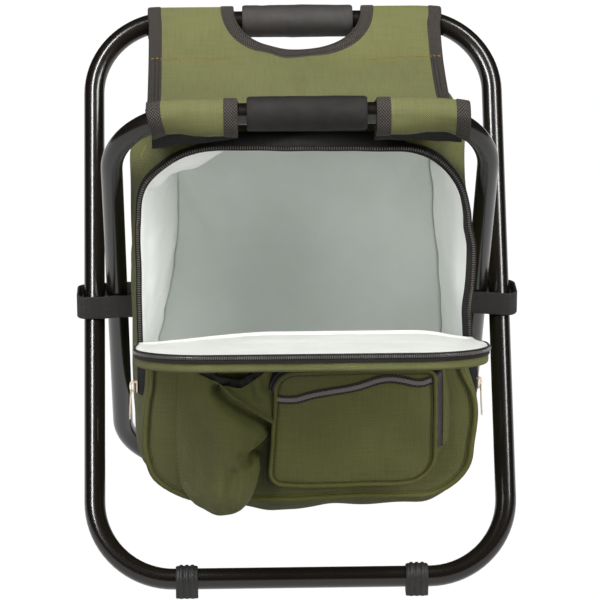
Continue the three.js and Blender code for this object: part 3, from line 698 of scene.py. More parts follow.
# %% [markdown]
# ## Seat
#
# The seat is one cloth. It runs over both top bars, round them and back under itself, and it is sewn
# down about sixty millimetres in, which leaves a line of tan thread across it. A half moon is cut out
# at each bar so that a hand can reach the grip. One section curve, worked out for each place across
# the seat, gives the whole way of the cloth, so its pieces meet exactly.

# %% Sizes of the seat
front_reach, back_reach = loops["inner"]["reach"], loops["outer"]["reach"]
front_bar = np.array([-front_reach * math.sin(lean), front_reach * math.cos(lean)])
back_bar = np.array([back_reach * math.sin(lean), back_reach * math.cos(lean)])
seat_shift, seat_half = 4.5, 131.5
seat_left, seat_right = seat_shift - seat_half, seat_shift + seat_half
cutout_half, cutout_deep, bound = 57, 49, 11
hem_reach, seat_sag, wrap_radius = 62, 26, 12.2
hangs = {"front": 5.5, "back": 1.5}
print("the top bars are", round(np.linalg.norm(back_bar - front_bar), 1), "mm apart")

# %% Height of the seat


def bar_centre(loop, x, follow=0.3):
    """The line that cloth takes over a top bar and its bend, as [y, z] at places across."""
    straight = loop["half"] - loop["bend"]
    past = np.clip(np.abs(x) - straight, 0, None) / loop["bend"]
    up = loop["reach"] - follow * loop["bend"] * (1 - np.sqrt(np.clip(1 - past ** 2, 0.0001, None)))
    return leaned(np.stack([np.asarray(x, float), up], axis=-1), loop["lean"])[..., 1:]


def seat_top(x, y):
    """Height of the seat's upper layer."""
    x, y = np.broadcast_arrays(np.asarray(x, float), np.asarray(y, float))
    front, back = bar_centre(loops["inner"], x), bar_centre(loops["outer"], x)
    share = (y - front[..., 0]) / (back[..., 0] - front[..., 0])
    level = front[..., 1] + (back[..., 1] - front[..., 1]) * share - 4 * seat_sag * share * (1 - share)
    from_front, from_back = y - front[..., 0], back[..., 0] - y
    tent = np.clip(1 - np.minimum(from_front, from_back) / hem_reach, 0, 1) ** 1.4
    flat = np.stack([x, y], axis=-1)
    folds = 1.3 * crease(flat, (-24, 92), (-14, 6), 8) - 1.1 * crease(flat, (-8, 88), (-2, 0), 7)
    folds += 1.1 * crease(flat, (16, 84), (12, 10), 9) - 0.9 * crease(flat, (60, 70), (34, -30), 14)
    folds += 0.9 * crease(flat, (-76, 76), (-36, -40), 15)
    folds -= 0.6 * crease(flat, (104, 70), (80, -10), 10)
    inner = eased(from_front, 10, 60) * eased(from_back, 10, 60)
    slack = 1.5 * eased(np.abs(x - seat_shift), 60, 128) * inner
    return level + wrap_radius * tent + inner * (folds + 0.6 * waver(flat, 70, 11)) + slack


print("the seat's middle hangs at", round(float(seat_top(seat_shift, 0)), 1), "mm over the pivots")

# %% The cloth's way round a bar


def wrap(place, x, hang, seed, sides=30):
    """The cloth's way round a bar and back under the seat, from the top of the bar."""
    loop, inward = (loops["inner"], 1) if place == "front" else (loops["outer"], -1)
    centre = bar_centre(loop, x)
    turn = np.radians(np.linspace(90, 305, sides))
    up = np.sin(turn)
    full = 1 - eased(np.abs(x), loop["half"] - loop["bend"] - 6, loop["half"] - loop["bend"] + 36)
    radius = wrap_radius + np.clip(-up, 0, 1)[:, None] ** 1.5 * (hang * full - 1.2 * (1 - full))
    flat = np.stack(np.broadcast_arrays(x, turn[:, None] * 14), axis=-1)
    uneven = 0.5 * waver(flat, 30, seed) + 0.25 * waver(flat, 11, seed + 1)
    radius = radius + uneven * eased(-up, -0.9, 0)[:, None]
    bend = centre - bar_centre(loop, x, 1.0)
    below = np.clip(-up, 0, 1)[:, None]
    y = centre[:, 0] + radius * (np.cos(turn) * inward)[:, None] - bend[:, 0] * below
    z = centre[:, 1] + radius * up[:, None] - bend[:, 1] * below
    end_y = centre[:, 0] + inward * (hem_reach + 3)
    end_z = seat_top(x, end_y) - 1.6
    share = np.linspace(0, 1, 22)[1:, None]
    under_y, under_z = y[-1] + (end_y - y[-1]) * share, z[-1] + (end_z - z[-1]) * share
    under_z = under_z - hang * 1.3 * full * np.sin(share * math.pi) ** 1.2 * (1 - share)
    y, z = np.concatenate([y, under_y]), np.concatenate([z, under_z])
    return np.stack([np.broadcast_to(x, y.shape), y, z], axis=-1)


under = wrap("front", np.array([seat_left]), hangs["front"], 1)[:, 0]
print("cloth under the front bar:", round(np.linalg.norm(np.diff(under, axis=0), axis=1).sum()), "mm")

# %% [markdown]
# The cloth is one grid for the upper layer and four for the parts that go round the bars. They share
# their edge points, so sewing joins them without a seam.

# %% Cut and hang the seat cloth
cloth_left, cloth_right = seat_left + bound - 3, seat_right - bound + 3
reach = cutout_half + bound - 2
turn = np.linspace(-1, 1, 61)
middle_columns = seat_shift + reach * np.sin(turn * math.pi / 2)
left_columns = np.linspace(cloth_left, middle_columns[0], 24)
right_columns = np.linspace(middle_columns[-1], cloth_right, 24)
columns = np.concatenate([left_columns[:-1], middle_columns, right_columns[1:]])


def cut_edge(x, place, grow):
    """Where the upper layer starts: at the top of a bar, or round the half moon."""
    centre = bar_centre(loops["inner"] if place == "front" else loops["outer"], x)[:, 0]
    across = np.clip(1 - ((x - seat_shift) / (cutout_half + grow)) ** 2, 0, 1)
    return centre + (1 if place == "front" else -1) * (cutout_deep + grow) * np.sqrt(across)


start, stop = cut_edge(columns, "front", bound - 2), cut_edge(columns, "back", bound - 2)
share = np.linspace(0, 1, 90)[:, None]
y = start + (stop - start) * share
x = np.broadcast_to(columns, y.shape)
seat = Pattern().grid(np.stack([x, y, seat_top(x, y)], axis=2), cloth=np.stack([x, y], axis=2) * MM)
for place, hang in hangs.items():
    for block, seed in ((left_columns, 31), (right_columns, 37)):
        rows = wrap(place, block, hang, seed)
        steps = np.linalg.norm(np.diff(rows, axis=0), axis=2).mean(axis=1)
        along = np.concatenate([[0], np.cumsum(steps)])[:, None]
        onwards = -along if place == "front" else along
        cloth = np.stack([rows[..., 0], rows[:1, :, 1] + onwards], axis=2)
        seat.grid(rows, cloth=cloth * MM)
seat_cloth = seat.sew("seat_cloth_sheet", olive, sharp=60, merge=0.01)
thicken(seat_cloth, 1.4, offset=0)

# %% [markdown] The two ends of the seat move with different tube loops when the stool folds.

# %% Widen the seat pieces round the bars


def cut_wider(piece):
    """The cloth is cut a little wider where it goes round the bars."""
    corners = np.empty(len(piece.data.vertices) * 3)
    piece.data.vertices.foreach_get("co", corners)
    corners = (corners.reshape(-1, 3) - pivot) / MM
    x, y = corners[:, 0], corners[:, 1]
    right, left = eased(x - seat_shift, 60, 126), eased(seat_shift - x, 60, 126)
    droop = eased(front_bar[1] + 8 - corners[:, 2], 0, 30)
    corners[:, 0] += eased(-y, 118, 129) * (1.5 * right + (1 + 5 * droop) * left)
    corners[:, 0] += eased(y, 126, 138) * (2 * right - left)
    corners[:, 0] -= 5.5 * right * eased(y, -124, -118)
    piece.data.vertices.foreach_set("co", placed(corners).ravel())


def span_seat(piece, slot, *nodes):
    """Widens a piece of the seat round the bars and hides the nodes that it stands for."""
    cut_wider(piece)
    if nodes:
        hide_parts(*nodes)
    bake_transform(piece)
    print(f"{piece.name}: {len(piece.data.polygons)} faces")


span_seat(seat_cloth, "olive_cloth", "seat_cloth", "seat_sleeve_back_left", "seat_sleeve_back_right",
          "seat_sleeve_front_left", "seat_sleeve_front_right")

# %% [markdown]
# Every edge of the seat is bound in black tape. The side bindings take the cloth's whole way, and the
# cut-out bindings come round the bar, follow the half moon and go round the bar again. The edges could
# only be coloured black, but a tape of its own has a thickness that catches the light.

# %% The ways of the seat's edges


def facing_out(path, out):
    """The direction off the cloth at each place of a way round the bars."""
    normal = np.cross(np.gradient(path, axis=0), (1, 0, 0))
    return normal / np.linalg.norm(normal, axis=1, keepdims=True) * out


def side_way(x, seed):
    """The cloth's way at one place across, from under the front to under the back."""
    front = wrap("front", np.array([x]), hangs["front"], seed)[:, 0]
    back = wrap("back", np.array([x]), hangs["back"], seed)[:, 0]
    y = np.linspace(front[0, 1], back[0, 1], 80)[1:-1]
    top = np.stack([np.full(78, x), y, seat_top(np.full(78, x), y)], axis=1)
    path = np.concatenate([front[::-1], top, back])
    return path, facing_out(path, -1)


def moon_way(place, grow):
    """The way of a cut-out's edge: up round the bar, along the half moon and down round the bar."""
    inward = 1 if place == "front" else -1
    turn = np.linspace(0, math.pi, 100)
    x = seat_shift + (cutout_half + grow) * np.cos(turn)
    centre = bar_centre(loops["inner"] if place == "front" else loops["outer"], x)[:, 0]
    y = centre + inward * (cutout_deep + grow) * np.sin(turn)
    moon = np.stack([x, y, seat_top(x, y)], axis=1)
    left = wrap(place, np.array([seat_shift - cutout_half - grow]), hangs[place], 31)[:, 0]
    right = wrap(place, np.array([seat_shift + cutout_half + grow]), hangs[place], 37)[:, 0]
    path = np.concatenate([right[:0:-1], moon, left[1:]])
    rounds = len(right) - 1
    normal = np.tile([0.0, 0.0, 1.0], (len(path), 1))
    normal[:rounds] = facing_out(path[:rounds], -inward)
    normal[-rounds:] = facing_out(path[-rounds:], inward)
    for step in range(3):
        normal[1:-1] = (normal[:-2] + normal[1:-1] + normal[2:]) / 3
    return path, normal


for place in hangs:
    way = moon_way(place, 0)[0]
    print(place, "cut-out's edge:", round(np.linalg.norm(np.diff(way, axis=0), axis=1).sum()), "mm")

# %% Bind the seat's edges
binding_profile = flat_band(bound + 1, 3.0, across=9)


def bind(way, name, node):
    """A folded tape whose every line lies on the cloth's own way."""
    lines = []
    for sideways, upward in binding_profile:
        path, normal = way(sideways)
        lines.append(path + normal * upward)
    piece = closed_body(np.stack(lines, axis=1))
    span_seat(piece.sew(name, binding), "black_binding", node)


for side, x, seed in (("left", seat_left + bound / 2, 31), ("right", seat_right - bound / 2, 37)):
    bind(lambda sideways: side_way(x + sideways, seed), f"seat_edge_{side}", f"seat_binding_{side}")
for place in ("back", "front"):
    bind(lambda sideways: moon_way(place, bound / 2 + sideways), f"cutout_edge_{place}",
         f"cutout_binding_{place}")

# %% [markdown]
# Under the front bar the turned-back cloth hangs lower than the sleeve, with one loose end of thread.
# Its edge is bound in black, and the whole hanging sheet is drawn in the dark zip tape finish: above
# the binding that darkness is painted shade, where the olive cloth lies in the bar's shadow.

# %% Hang the front hems
for side, start_x, stop_x, low_start, low_stop in (
        ("left", seat_left + 5, seat_shift - cutout_half + 1, 33, 25),
        ("right", seat_shift + cutout_half - 1, seat_right - 3, 27, 29)):
    x = np.linspace(start_x, stop_x, 50)
    centre = bar_centre(loops["inner"], x, 1.0)
    low = np.linspace(low_start, low_stop, 50) - (front_bar[1] - centre[:, 1]) * 0.75
    share = np.linspace(0, 1, 14)[:, None]
    flat = np.stack(np.broadcast_arrays(x, share * 20), axis=-1)
    y = centre[:, 0] + 8 + 9 * share + 1.4 * waver(flat, 30, 91)
    z = centre[:, 1] - 7 - (low - 7) * share + 0.5 * waver(flat, 17, 92) * share
    rows = np.stack([np.broadcast_to(x, y.shape), y, z], axis=-1)
    # The dark tape finish is real black binding at the edge and painted shade over the rest of the
    # sheet.
    hem = Pattern().grid(rows).sew(f"front_hem_{side}", tape, sharp=60)
    thicken(hem, 1.6, offset=0)
    dress(hem, "black_binding", body="inner_frame")
thread = smoothed([(-127, -132, 178), (-129, -134, 174), (-131, -134, 171), (-130, -135, 167)], 30)
loose = cord(thread, circle(0.35, 6), (0, 1, 0), thread_tan, "loose_thread")
dress(loose, "olive_cloth", body="inner_frame")

# %% [markdown]
# Stitches are small raised bars of thread. One low form is copied along a path, with its own
# direction at each place, so that a long seam stays light.

# %% Sew along a path


def evenly(path, pitch):
    """Places a pitch apart along a path, and the direction of travel at each."""
    path = np.asarray(path, float)
    far = np.concatenate([[0], np.cumsum(np.linalg.norm(np.diff(path, axis=0), axis=1))])
    stops = np.arange(pitch / 2, far[-1], pitch)
    behind, places, ahead = (np.stack([np.interp(stops + step, far, line) for line in path.T], axis=1)
                             for step in (-0.5, 0, 0.5))
    way = ahead - behind
    return places, way / np.linalg.norm(way, axis=1, keepdims=True)


def bars_along(places, way, up, size):
    """Eight-cornered bars at these places: size is the length, width and height of each."""
    up = np.broadcast_to(np.asarray(up, float), places.shape)
    side = np.cross(way, up)
    side /= np.linalg.norm(side, axis=1, keepdims=True)
    lift = np.cross(side, way)
    half = np.array(size) / 2
    rings = []
    for end, narrow in ((-1, 0.45), (-0.55, 1), (0.55, 1), (1, 0.45)):
        for a, b in ((1, 1), (-1, 1), (-1, -1), (1, -1)):
            rings.append(places + way * half[0] * end + side * half[1] * a * narrow
                         + lift * half[2] * b * narrow)
    return np.stack(rings, axis=1)


bar_faces = [[r * 4 + s, r * 4 + (s + 1) % 4, r * 4 + 4 + (s + 1) % 4, r * 4 + 4 + s]
             for r in range(3) for s in range(4)] + [[3, 2, 1, 0], [12, 13, 14, 15]]


def sewn_along(paths, up, name, finish, stitch=2.6, pitch=3.4, thread=0.75):
    """Stitches along each path, as one piece."""
    pattern = Pattern()
    for index, path in enumerate(paths):
        places, way = evenly(path, pitch)
        each = up[index] if isinstance(up, list) else up
        pattern.copies(bars_along(places, way, each, (stitch, thread, thread)), bar_faces)
    return pattern.sew(name, finish, merge=0.0001)


print("stitches in 100 mm of seam:", len(evenly([(0, 0, 0), (100, 0, 0)], 3.4)[0]))

# %% [markdown]
# The tan line shows where the cloth is turned back and sewn to itself. Dark stitches hold the
# bindings on both of their edges. All of them lie on the seat's own surface.

# %% Sew down the turned-back cloth


def on_seat(x, y, lift):
    """Places on the seat, lifted off it."""
    x, y = np.broadcast_arrays(np.asarray(x, float), np.asarray(y, float))
    return np.stack([x, y, seat_top(x, y) + lift], axis=-1)


left_end, right_end = seat_left + 1, seat_right - 1
tan_paths = []
for bar_y, inward in ((back_bar[0], -1), (front_bar[0], 1)):
    for start_x, stop_x, start_y, stop_y in ((left_end, -54, 64, 61), (right_end, 63, 61, 64)):
        x = np.linspace(start_x, stop_x, 60)
        y = bar_y + inward * np.linspace(start_y, stop_y, 60)
        over = 1.3 * (eased(seat_left + bound - x, 0, 1) + eased(x - seat_right + bound, 0, 1))
        tan_paths.append(on_seat(x, y, 0.9 + over))
hem_stitches = sewn_along(tan_paths, (0, 0, 1), "seat_hem_stitches", thread_tan, stitch=2.8, pitch=4.2,
                          thread=1.1)
span_seat(hem_stitches, "olive_cloth")

# %% Stitch the bindings
edge_paths = []
for x in (seat_left + bound - 2.2, seat_left + bound / 2, seat_right - bound + 2.2,
          seat_right - bound / 2):
    y = np.linspace(front_bar[0] + 20, back_bar[0] - 4, 90)
    edge_paths.append(on_seat(np.full(90, x), y, 1.7))
for place, centre, inward in (("back", back_bar[0], -1), ("front", front_bar[0], 1)):
    for grow in (2.2, bound - 2.2):
        turn = np.linspace(0.1, math.pi - 0.1, 90)
        edge_paths.append(on_seat(seat_shift + (cutout_half + grow) * np.cos(turn),
                                  centre + inward * (cutout_deep + grow) * np.sin(turn), 1.7))
span_seat(sewn_along(edge_paths, (0, 0, 1), "seat_edge_stitches", thread_dark), "black_binding")

# %% [markdown]
# ## Cooler bag
#
# The bag is a soft box of coated cloth over foam, with a wipe-clean lining. Its front view is drawn
# once, as a lower edge under the lid's fold and an upper edge over it, and these outlines are lofted
# through the bag's depth. The body is squarer than its zipped mouth, so its top corners flare.

# %% Measure the bag
bag_low, bag_high = local_box("bag_shell")
bag_half = -bag_low[0]
mouth_shift = bag_high[0] - bag_half
front_y, back_y = bag_low[1], bag_high[1]
bag_bottom, bag_top = bag_low[2], bag_high[2]
fold, seam_y = -7, front_y + 14.5
mouth_radius, body_radius, bottom_radius, back_round = 58, 16, 42, 6
zip_tail = 43
print("bag is", (bag_high - bag_low).round(1), "mm")

# %% Edges of the bag's front view


def run(places, radii, counts, arc=16):
    """A path in the front view that is round at its right-angled corners."""
    places = np.asarray(places, float)
    path, begin = [], places[0]
    for index, radius in enumerate(radii):
        corner, ahead = places[index + 1], places[index + 2]
        going = (corner - places[index]) / np.linalg.norm(corner - places[index])
        leaving = (ahead - corner) / np.linalg.norm(ahead - corner)
        entry = corner - going * radius
        path.append(np.linspace(begin, entry, counts[index], endpoint=False))
        turn = np.linspace(0, math.pi / 2, arc, endpoint=False)[:, None]
        path.append(entry + radius * (leaving * (1 - np.cos(turn)) + going * np.sin(turn)))
        begin = corner + leaving * radius
    path.append(np.linspace(begin, places[-1], counts[-1]))
    return np.concatenate(path)


def lower_edge(inset=0.0, grow=1.0):
    """From the fold on the right, under the bag, to the fold on the left."""
    half, bottom = bag_half - inset, bag_bottom + inset
    radii = (bottom_radius + 4 * grow - inset, bottom_radius + 16 * grow - inset)
    return run([(half, fold), (half, bottom), (-half, bottom), (-half, fold)], radii, (24, 56, 24))


def upper_edge(radius, inset=0.0, end=fold, left_radius=None):
    """From the left, over the top, to the right."""
    half, top = bag_half - inset, bag_top - inset
    radii = ((left_radius or radius) - inset, radius - inset)
    return run([(-half, end), (-half, top), (half, top), (half, end)], radii, (34, 44, 34))


def stand(path, y, shift=0.0):
    """Stands a path of the front view up at a depth."""
    path = np.asarray(path, float)
    depth = np.broadcast_to(y, path.shape[:-1])
    return np.stack([path[..., 0] + shift, depth, path[..., 1]], axis=-1)


print("the mouth's edge has", len(upper_edge(mouth_radius)), "places")

# %% [markdown]
# A bag that hangs from two straps is never a true box. Its floor sags behind the front panel, its
# sides swell a little, and the lower front is pulled to the right. `settled` moves any point of the
# bag in that way, so all the pieces sewn to it stay together.

# %% Let the bag settle
# Each line is how far the cloth has moved, at places across the bag or up it.
floor_sag = drawn((-136, 0), (-100, 2), (-60, 8), (-24, 12), (-8, 13.5), (10, 9), (40, 7.5),
                  (100, 7), (122, 4), (146, 0))
hem_lift = drawn((-140, 0), (-60, -0.5), (-20, 0), (10, 1), (50, 2.4), (84, 2), (106, 1.4), (146, 1))
left_front = drawn((-146, -1), (-130, -2.6), (-122, -2), (-112, 0), (-98, 1.8), (-68, 3.6),
                   (-51, 5.8), (-40, 8), (-7, 9))
right_front = drawn((-146, 0), (-118, 1.4), (-100, 1.6), (-81, 4), (-65, 4.8), (-49, 2.7),
                    (-38, -2.5), (-26, -7.8), (-7, -9))
left_wall = drawn((-146, 0), (-118, 2), (-108, 5), (-78, 4), (-56, 0.6), (-7, 0))
right_mouth = drawn((-20, -1), (4, -1.1), (22, -1.5), (40, 0.6), (57, 1.4), (75, 1.9), (84, 0.6),
                    (93, -1.9), (104, -3.4), (118, -6), (145, -7), (158, -6), (170, -4))
mouth_sag = drawn((-141, 2), (-118, 7), (-92, 5.5), (-65, 3.6), (0, 4.2), (60, 4.6), (95, 5),
                  (118, 4), (146, 2))
right_wall = drawn((-146, 0), (-120, 2), (-100, 3), (-75, 4), (-40, 3), (-7, 0.5), (12, 0))


def settled(points, soft=1.0):
    """Moves points of the bag as its cloth has settled."""
    points = np.array(points, float)
    x, y, z = points[..., 0].copy(), points[..., 1].copy(), points[..., 2].copy()
    low, edge, near = eased(-z, 60, 146), eased(-y, 97, 109), eased(-y, 40, 96)
    behind = (1 - edge) * (1 - 0.55 * eased(y, -60, 95))
    scallop = 1 + 0.12 * np.sin(x / 8 + 1.4 * np.sin(x / 31))
    points[..., 2] += low * (hem_lift(x) * edge - floor_sag(x) * scallop * behind)
    left, right = eased(mouth_shift - x, 110, 134), eased(x - mouth_shift, 112, 134)
    under = z < fold + 0.01
    points[..., 0] += left * (left_front(z) * edge + left_wall(z) * near * (1 - edge)) * under
    points[..., 0] += right * (right_front(z) * edge + right_wall(z) * near * (1 - edge))
    points[..., 0] += eased(x, 40, 120) * near * right_mouth(z) * eased(z, -20, 0)
    points[..., 2] -= mouth_sag(x) * eased(z, 100, 160) * near
    swell = eased(y, -80, -20) * (1 - eased(y, 50, 92)) * eased(z, -120, -40) * (1 - eased(z, 80, 150))
    points[..., 0] += 2 * np.sign(x) * eased(np.abs(x), 110, 141) * swell
    depth_view, side_view = np.stack([x, z], axis=-1), np.stack([y, z], axis=-1)
    top_view = np.stack([x, y], axis=-1)
    points[..., 0] += soft * 0.7 * waver(side_view, 58, 21)
    zip_hold = 0.15 + 0.85 * eased(np.abs(y - seam_y), 2, 30)
    points[..., 1] += soft * 0.7 * waver(depth_view, 64, 22) * zip_hold
    points[..., 2] += soft * 0.7 * waver(top_view, 58, 23)
    return points


lowest = np.array([0, 0, bag_bottom])
print("the floor's middle sags by", round(float(lowest[2] - settled(lowest)[2]), 1), "mm")

# %% [markdown]
# The outer cloth is sewn from rows round the bag and a soft back panel. Near the back the rows draw
# in, as the seam does there. Rows under the fold run on to the front, where the lower panel closes
# them.

# %% Rows of the bag's body
corner_in, top_down = 24, 6


def flare(y):
    """How far the body has turned into the mouth at a depth."""
    return eased(-y, 60, 86)


def left_corner(y, grow, more=0):
    """The radius of the upper left corner, which is softer towards the back."""
    return mouth_radius * grow + (20 + 26 * eased(y, -50, 20) + more) * (1 - grow)


def outline(part, y, inset, radius, more=0):
    """The bag's front view at a depth, over or under the fold, as far as its mouth has begun."""
    grow = flare(y)
    if part == "lower":
        path = lower_edge(inset, grow)
    else:
        path = upper_edge(radius + (mouth_radius - radius) * grow, inset,
                          left_radius=left_corner(y, grow, more))
    return stand(path, y, mouth_shift * grow)


def body_rows(depths, part):
    """The body's outline at each depth, over or under the fold, drawn in at its upper left."""
    rows = []
    for y in depths:
        into_round = np.clip(y - (back_y - back_round), 0, back_round)
        inset = back_round - math.sqrt(back_round ** 2 - into_round ** 2)
        rows.append(outline(part, y, inset, body_radius))
    rows = np.array(rows)
    x, y, z = rows[..., 0], rows[..., 1], rows[..., 2]
    rows[..., 0] += corner_in * eased(y, -60, 70) * eased(z, 40, 130) * np.clip(-x / 130, 0, 1)
    rows[..., 2] -= top_down * eased(y, -60, 80) * eased(z, 120, 165)
    return rows


print("share of the mouth's form at 60, 73 and 86 mm to the front:", flare(np.array([-60, -73, -86])))

# %% Sew the outer cloth


def panel(pattern, ring, shape, moved=settled, rings=26):
    """Closes a ring with a soft panel: `shape` gives its depth, and `moved` sets it in its place."""
    middle = (ring.max(axis=0) + ring.min(axis=0)) / 2
    share = np.linspace(1, 0, rings)[:, None, None]
    rows = middle + (ring - middle) * share
    rows[..., 1] += shape(rows, share[..., 0])
    flat = np.concatenate([rows, rows[:, :1]], axis=1)[..., [0, 2]]
    return pattern.grid(moved(rows), closed=True, cloth=flat * MM)


def swelling(depth):
    """The shape of a panel that swells by a depth towards the front."""
    return lambda rows, share: -depth * (1 - share ** 2.4)


near_back = back_y - back_round * (1 - np.sin(np.linspace(0, math.pi / 2, 7))[::-1])
depths = np.concatenate([near_back, np.linspace(back_y - back_round, seam_y + 9.6, 46)[1:]])
lip = np.array([seam_y + 7, seam_y + 4, seam_y + 1])
lower_depths = np.concatenate([depths, lip, np.linspace(seam_y - 2, front_y, 6)])
lower_rows = body_rows(lower_depths, "lower")
upper_rows = body_rows(np.concatenate([depths, lip]), "upper")
shell = Pattern().grid(settled(lower_rows)).grid(settled(upper_rows))
panel(shell, np.concatenate([lower_rows[0], upper_rows[0][1:-1]]), swelling(-5))
fold_line = np.linspace(lower_rows[-1][-1], lower_rows[-1][0], 60)[1:-1]
panel(shell, np.concatenate([lower_rows[-1], fold_line]), swelling(2.5))
bag_cloth = shell.sew("bag_cloth", olive, sharp=50)
thicken(bag_cloth, 1.2)
dress(bag_cloth, "olive_cloth", "bag_shell")

# %% [markdown]
# The lining is a white bag inside. It is cut a little smaller than the foam, so it draws in towards
# its back corners, more on the left than on the right, and its walls keep shallow creases.

# %% Rows of the lining
lining_gap, lining_deeper, lining_radius = 1.6, 6, body_radius + 8
lining_inset = lining_gap + lining_deeper
lining_left, lining_right, lining_down = 29, 11, 5
pout, pout_crease, wall_slack, roof_slack = 19, 3.5, 1.1, 3


def lining_rows(depths, part):
    """The lining's outline at each depth, over or under the fold, with its slack."""
    rows = []
    for y in depths:
        inset = lining_gap + lining_deeper * eased(y, seam_y, seam_y + 60)
        inset = lining_inset if part == "lower" and y < seam_y else inset
        rows.append(outline(part, y, inset, lining_radius, 10))
    rows = np.array(rows)
    x, y, z = rows[..., 0], rows[..., 1], rows[..., 2]
    taper = np.clip((y + 90) / 177, 0, 1) ** 0.8
    left, right = np.clip(-x / 130, 0, 1), np.clip(x / 130, 0, 1)
    walls = np.stack([y * 0.35, z], axis=-1)
    slack = eased(y, seam_y + 4, seam_y + 30)
    rows[..., 0] += taper * (lining_left * left * eased(z, -150, 60)
                             - lining_right * right * eased(z, -60, 110))
    pouting = eased(y, seam_y, seam_y + 12) * (1 - eased(y, seam_y + 34, seam_y + 90))
    pouting = pouting * eased(z, 60, 120) * (1 - eased(x, -92, -50)) * eased(x, -136, -118)
    creased = crease(np.stack([x, y], axis=-1), (-128, -70), (-84, -92), 5)
    creased = creased + crease(np.stack([x, y], axis=-1), (-100, -60), (-112, -94), 4)
    rows[..., 2] -= pouting * (pout - pout_crease * creased)
    loose = left * (1 + waver(walls, 30, 41)) - right * (1 + waver(walls, 34, 42))
    rows[..., 0] += slack * loose * wall_slack
    rows[..., 2] -= (slack * roof_slack * eased(z, 120, 160)
                     + lining_down * eased(y, -60, 80) * eased(z, 110, 155))
    return rows


inner_depths = np.concatenate([seam_y + 1.9 + 14 * (1 - np.cos(np.linspace(0, math.pi / 2, 9))),
                               np.linspace(seam_y + 15.9, back_y - 8, 40)[1:]])
upper_lining = lining_rows(inner_depths, "upper")
lining_depths = np.concatenate([[front_y + lining_inset, front_y + 10], inner_depths])
lower_lining = lining_rows(lining_depths, "lower")
print("lining rows:", len(upper_lining), "over the fold and", len(lower_lining), "under it")

# %% Sew the lining's back
# The back panel takes the lining's finish darkened to grey, as painted shade for the shadow inside the
# bag.
back_ring = np.concatenate([lower_lining[-1], upper_lining[-1][1:-1]])
middle = np.array([4, back_y - 8, 10])
share = np.linspace(1, 0, 40)[:, None, None]
back_rows = middle + (back_ring - middle) * share
flat = back_rows[..., [0, 2]]
back_rows[..., 1] += 0.6 - share[..., 0] * 0.6 + 0.8 * waver(flat, 90, 43) * (1 - share[..., 0])
back_rows[..., 1] -= 1.6 * crease(flat, (-104, 96), (-70, 40), 9)
back_rows[..., 1] -= 1.2 * crease(flat, (112, 104), (84, 60), 8)
back_panel = Pattern().grid(settled(back_rows), closed=True,
                            cloth=np.concatenate([flat, flat[:, :1]], axis=1) * MM)
lining_back = thicken(back_panel.sew("lining_back", back_lining_painted_shade, sharp=60), 0.8, offset=0)
dress(lining_back, "white_lining", body="bag")

# %% Sew the lining's walls
lining_bag = Pattern().grid(settled(upper_lining)).grid(settled(lower_lining))
front_line = np.linspace(lower_lining[0][-1], lower_lining[0][0], 60)[1:-1]
panel(lining_bag, np.concatenate([lower_lining[0], front_line]), swelling(0))
flap_ends = np.stack([lower_lining[0][-1], lower_lining[0][0]]) - [0, 0, 2.4]
flap = np.linspace(flap_ends, flap_ends + [0, -7, 0], 5)
flap = flap[:, :1] + (flap[:, 1:] - flap[:, :1]) * np.linspace(0, 1, 60)[None, :, None]
lining_bag.grid(settled(flap))
bag_lining = lining_bag.sew("bag_lining", lining, sharp=60)
thicken(bag_lining, 0.8, offset=0)
dress(bag_lining, "white_lining", "bag_liner", "bag_foam")

# %% [markdown]
# The lid is drawn shut, where it meets the mouth, and then swung open about its fold. It is the same
# outline with a shallow wall, a foam sheet and its own lining. The real one has been pulled a little
# out of shape: it is wider on the right than the mouth, and its wall lies down at both ends of the
# fold, so its lining shows as a low hump.

# %% Swing the lid
lid_opening = math.radians(77)
slump_left, slump_right, slump_reach, lid_wider = 0.62, 0.5, 120, 1.3


def swung(points):
    """Turns points of the shut lid about the fold line. Its walls slump at both ends of the fold."""
    points = np.array(points, float)
    x, y, z = points[..., 0], points[..., 1] - front_y, points[..., 2] - fold
    x = x + lid_wider * eased(z, 0, 110) * (1 + x / 140)
    slump = slump_left * (1 - eased(x, -150, -20)) + slump_right * eased(x, 96, 150)
    y = y * (1 - slump * (1 - eased(z, 0, slump_reach)))
    cos, sin = math.cos(lid_opening), math.sin(lid_opening)
    return np.stack([x, front_y + y * cos - z * sin, fold + y * sin + z * cos], axis=-1)


def lid_path(inset=0.0, bottom=fold):
    """The lid's outline over the fold."""
    return upper_edge(mouth_radius, inset, bottom)


def lid_ring(y, inset=0.0, bottom=fold):
    """The lid's outline closed along the fold."""
    path = stand(lid_path(inset, bottom), y, mouth_shift)
    return np.concatenate([path, np.linspace(path[-1], path[0], 60)[1:-1]])


lid_end = swung([0, front_y, bag_top])
print("the open lid ends", round(front_y - lid_end[1]), "mm in front of the bag")

# %% [markdown]
# The lid's wall and face are one soft panel, closed ring by ring, so it needs no seam in the middle.
# It could be a box with rounded edges, but its face has to swell a little, as cloth over foam does.

# %% Sew the lid


def lid_face(rows, share):
    """The lid's face swells to the front, a little unevenly."""
    return -1.4 * (1 - share ** 2.2) + 0.4 * waver(rows[..., [0, 2]], 70, 52) * (1 - share)


round_edge = np.radians(np.linspace(0, 90, 6))
wall_round = 2.5
wall_y = np.concatenate([front_y + wall_round * (1 - np.sin(round_edge)[::-1]),
                         np.linspace(front_y + 4, seam_y - 0.6, 8)])
wall_inset = np.concatenate([wall_round * (1 - np.cos(round_edge)[::-1]), np.zeros(8)])
wall = np.array([lid_ring(y, inset, fold + inset) for y, inset in zip(wall_y, wall_inset)])
along = wall[..., [0, 2]]
wall[..., 2] += (0.6 * waver(along, 40, 51) - 0.5) * eased(wall[..., 2], 120, 165)
lid_pattern = Pattern().grid(swung(wall), closed=True)
panel(lid_pattern, wall[0], lid_face, swung, rings=30)
lid_cloth = lid_pattern.sew("lid_cloth", olive, sharp=50)
thicken(lid_cloth, 1.2)
dress(lid_cloth, "olive_cloth", "lid_shell")

# %% Line the lid


